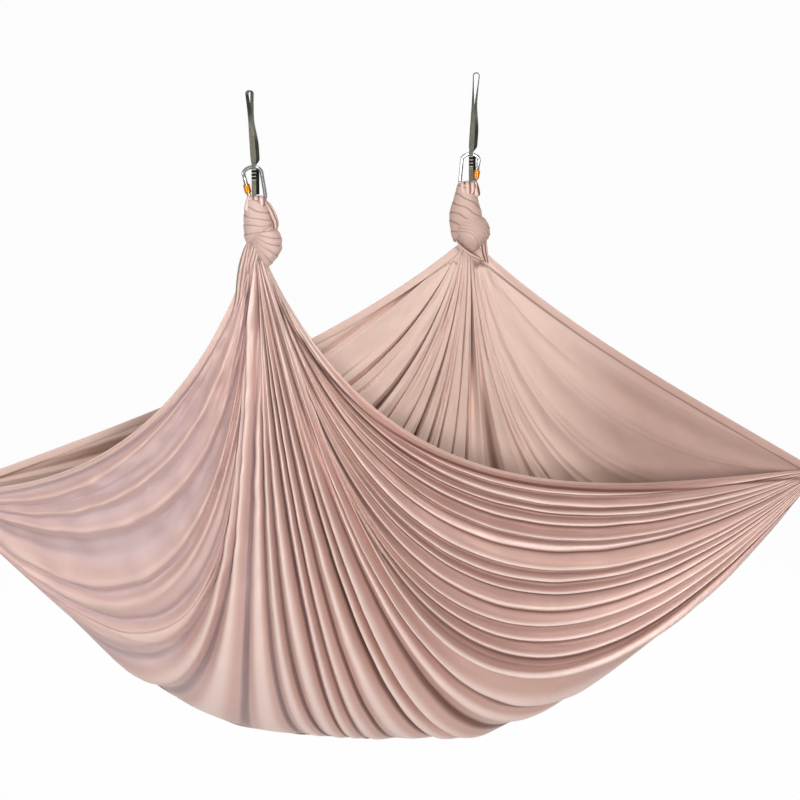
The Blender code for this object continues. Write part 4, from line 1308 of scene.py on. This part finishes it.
class HAMMOCK_OT_straps(bpy.types.Operator):
    """Builds the two webbing loops that hang from the ceiling hooks"""

    bl_idname = "hammock.straps"
    bl_label = "Straps"

    def execute(self, context):
        finish = webbing_finish("strap_weave", context.scene.hammock_hanger.webbing)
        strap("near", NEAR_HOOK, NEAR_BAR, NEAR_STRAP_TURN, NEAR_STRAP_EYE, finish)
        strap("far", FAR_HOOK, FAR_BAR, FAR_STRAP_TURN, FAR_STRAP_EYE, finish)
        return {"FINISHED"}


def hanging_band(depths, x, y, thickness, bar):
    """A vertical band facing forward, its middle line given as arrays of x and y at depths."""
    middles = np.stack([x + 0 * depths, y + 0 * depths, -depths], axis=1) + bar
    outs = np.broadcast_to((0.0, -1.0, 0.0), middles.shape)
    across = np.broadcast_to((1.0, 0.0, 0.0), middles.shape)
    none = 0 * depths
    return webbing_rings(middles, outs, across, none + TAIL_WIDTH, none, thickness)


class HAMMOCK_OT_tails(bpy.types.Operator):
    """Builds the webbing's free ends inside each carabiner, with pockets and bar tacks"""

    bl_idname = "hammock.tails"
    bl_label = "Strap tails"

    def execute(self, context):
        held = context.scene.hammock_hanger
        grey = webbing_finish("strap_weave", held.webbing)
        # painted shade: the pockets and the rear tail take the near-black copy of the webbing
        dark = webbing_finish("dark_weave", held.shaded_webbing)
        thread = webbing_finish("tack_thread", held.thread)
        level = TAIL_FACE + TAIL_THICKNESS / 2
        top, span = TAIL_TOP + FIRST_TACK, TACK_PITCH * (TACKS - 1)
        for name, (bar, _) in BARS.items():
            down = np.linspace(-TAIL_RISE, LOOP_TOP - SEAT, 50)
            parts = [("tail", "strap_tail", down, 0, -level, grey, "webbing")]
            down, x = np.linspace(TAIL_TOP, LOOP_TOP - SEAT, 50), REAR_TAIL_ASIDE
            parts.append(("rear_tail", "rear_strap_tail", down, x, level, dark, "webbing_dark"))
            down = np.linspace(top, top + span, 60)
            swell = np.maximum(0, np.abs(np.sin(np.pi * (down - top) / TACK_PITCH)) - 0.3)
            front = -(level + TAIL_THICKNESS + SEAT) - POCKET_RISE * swell
            parts.append(("pockets", "strap_pockets", down, 0, front, dark, "webbing_dark"))
            face = level + 1.5 * TAIL_THICKNESS + 2 * SEAT + TACK_THICKNESS / 2
            for k in range(TACKS):
                middle = top + TACK_PITCH * k
                down = np.linspace(middle - TACK_HALF, middle + TACK_HALF, 5)
                tack = f"tack_{k + 1}"
                parts.append((tack, f"bar_{tack}", down, 0, -face, thread, "tack_thread"))
            for piece, node, depths, x, y, finish, slot in parts:
                thick = TACK_THICKNESS if "tack" in piece else TAIL_THICKNESS
                rings = hanging_band(depths, x, y, thick, bar)
                shell = Shell()
                shell.tube(rings, band_uv(rings, TAIL_WIDTH))
                made = shell.build(f"{name}_{piece}_webbing", finish, "hammock", slot, 50)
                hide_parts(f"{name}_{node}")
        return {"FINISHED"}


class HAMMOCK_OT_metal(bpy.types.Operator):
    """Gives the carabiners, pins, springs and sleeves their metal finishes"""

    bl_idname = "hammock.metal"
    bl_label = "Metal finishes"

    def execute(self, context):
        held = context.scene.hammock_hanger
        polished = metal_finish("polished_alloy", held.metal, 0.085)
        steel = metal_finish("plain_steel", STEEL, 0.26, 2.0)
        orange = metal_finish("anodised_orange", held.sleeve, 0.30, 1.0, 0.15)
        kinds = {
            "carabiner_frame": polished,
            "gate": polished,
            "hinge_pin": steel,
            "latch_pin": steel,
            "spring_plunger": steel,
            "gate_spring": steel,
            "lock_sleeve": orange,
        }
        for name in BARS:
            for node, finish in kinds.items():
                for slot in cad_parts[f"{name}_{node}"].material_slots:
                    slot.link = "OBJECT"
                    slot.material = finish
        return {"FINISHED"}


# Stage


# Colours of light
WARM = (1.0, 0.98, 0.96)
COOL = (0.90, 0.93, 1.0)
# Lamps: name, place, size and tint. All point at the middle of the hammock
LAMPS = [
    ("key", (0.9, -7.0, -0.2), 1.5, WARM),
    ("top", (0.5, -3.5, 3.6), 2.4, WARM),
    ("fill", (-5.0, -3.8, 0.0), 2.0, COOL),
    ("back", (0.8, 6.8, 0.6), 2.4, WARM),
]
MIDDLE = (0.3, 0.2, -1.0)
CAMERA = (0.390, -8.801, 0.786)
CAMERA_TILT = 10.3  # degrees downwards
FOCAL_LENGTH = 3396 / 800  # in widths of the picture
SENSOR = 36  # mm
VIEW_LIMIT = 200  # m
FLOOR_HALF = 60.0  # half of the floor's side, in m
REFLECTED = 0.4  # how bright the white surroundings are in reflections


def lamp(name, place, size, power, tint):
    data = bpy.data.lights.new(name, "AREA")
    data.shape, data.size, data.energy, data.color = "DISK", size, power, tint
    made = bpy.data.objects.new(name, data)
    bpy.context.scene.collection.objects.link(made)
    made.location = place
    made.visible_camera = False
    aim = np.array(MIDDLE) - np.array(place)
    flat = math.hypot(aim[0], aim[1])
    made.rotation_euler = (math.atan2(flat, -aim[2]), 0, math.atan2(-aim[0], aim[1]))


def seen_directly(graph):
    """1 where the camera or a view through glass looks, less in reflections, 0 elsewhere."""
    seen = graph.node("ShaderNodeLightPath", output="Is Camera Ray")
    rays = seen.output.node.outputs
    seen = seen.maths("MAXIMUM", Socket(graph, rays["Is Glossy Ray"]) * REFLECTED)
    return seen.maths("MAXIMUM", Socket(graph, rays["Is Transmission Ray"]))


class HAMMOCK_OT_stage(bpy.types.Operator):
    """Builds the floor, the lights and the camera"""

    bl_idname = "hammock.stage"
    bl_label = "Stage"

    def execute(self, context):
        held = context.scene.hammock_stage
        size, z = FLOOR_HALF, held.floor_height
        mesh = bpy.data.meshes.new("floor")
        corners = [(-size, -size, z), (size, -size, z), (size, size, z), (-size, size, z)]
        mesh.from_pydata(corners, [], [(0, 1, 2, 3)])
        floor = bpy.data.objects.new("floor", mesh)
        context.scene.collection.objects.link(floor)
        graph = Graph("floor_white")
        shade = graph.noise(graph.place((1, 1, 1)), 2.0, 2, 0.5)
        pale = graph.blend(shade * 0.04, (0.86, 0.86, 0.86), (0.8, 0.8, 0.8))
        mesh.materials.append(graph.finish(Base_Color=pale, Roughness=0.9))
        cover = graph.node("ShaderNodeEmission", {}, {"Color": (1, 1, 1, 1), "Strength": 1.0})
        plain = Socket(graph, graph.shader.outputs[0])
        share = seen_directly(graph) * held.whiteness
        mixed = graph.node("ShaderNodeMixShader", {}, {0: share, 1: plain, 2: cover})
        graph.feed(graph.tree.nodes["Material Output"].inputs["Surface"], mixed)

        room = Graph("room", "worlds")
        context.scene.world = room.material
        seen = seen_directly(room)
        room.finish(Color=(1, 1, 1), Strength=held.sky + (1 - held.sky) * seen)

        for name, place, size, tint in LAMPS:
            lamp(name, place, size, getattr(held, f"{name}_power"), tint)
        camera = bpy.data.objects.new("camera", bpy.data.cameras.new("camera"))
        context.scene.collection.objects.link(camera)
        camera.location = CAMERA
        camera.rotation_euler = (math.radians(90 - CAMERA_TILT), 0, 0)
        camera.data.sensor_width = SENSOR
        camera.data.lens = FOCAL_LENGTH * SENSOR
        camera.data.clip_end = VIEW_LIMIT
        context.scene.camera = camera
        context.scene.view_settings.view_transform = "Standard"
        return {"FINISHED"}


class HAMMOCK_PT_sidebar(bpy.types.Panel):
    """Lists the steps that build the hammock"""

    bl_idname = "HAMMOCK_PT_sidebar"
    bl_label = "Aerial yoga hammock"
    bl_space_type = "VIEW_3D"
    bl_region_type = "UI"
    bl_category = "Hammock"

    def draw(self, context):
        scene = context.scene
        for held in (scene.hammock_cloth, scene.hammock_hanger, scene.hammock_stage):
            box = self.layout.box()
            for name in held.__annotations__:
                box.prop(held, name)
        for step in STEPS:
            self.layout.operator(step.bl_idname)


SETTINGS = {
    "hammock_cloth": ClothSettings,
    "hammock_hanger": HangerSettings,
    "hammock_stage": StageSettings,
}
STEPS = (
    HAMMOCK_OT_stage,
    HAMMOCK_OT_knots,
    HAMMOCK_OT_loops,
    HAMMOCK_OT_front_cloth,
    HAMMOCK_OT_rear_cloth,
    HAMMOCK_OT_straps,
    HAMMOCK_OT_tails,
    HAMMOCK_OT_metal,
)


def register():
    for kind in (*SETTINGS.values(), *STEPS, HAMMOCK_PT_sidebar):
        bpy.utils.register_class(kind)
    for name, kind in SETTINGS.items():
        setattr(bpy.types.Scene, name, bpy.props.PointerProperty(type=kind))


def unregister():
    for name in SETTINGS:
        delattr(bpy.types.Scene, name)
    for kind in (HAMMOCK_PT_sidebar, *reversed(STEPS), *reversed(list(SETTINGS.values()))):
        bpy.utils.unregister_class(kind)


def main():
    register()
    for step in STEPS:
        group, name = step.bl_idname.split(".")
        getattr(getattr(bpy.ops, group), name)()
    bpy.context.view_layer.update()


if __name__ == "__main__":
    main()
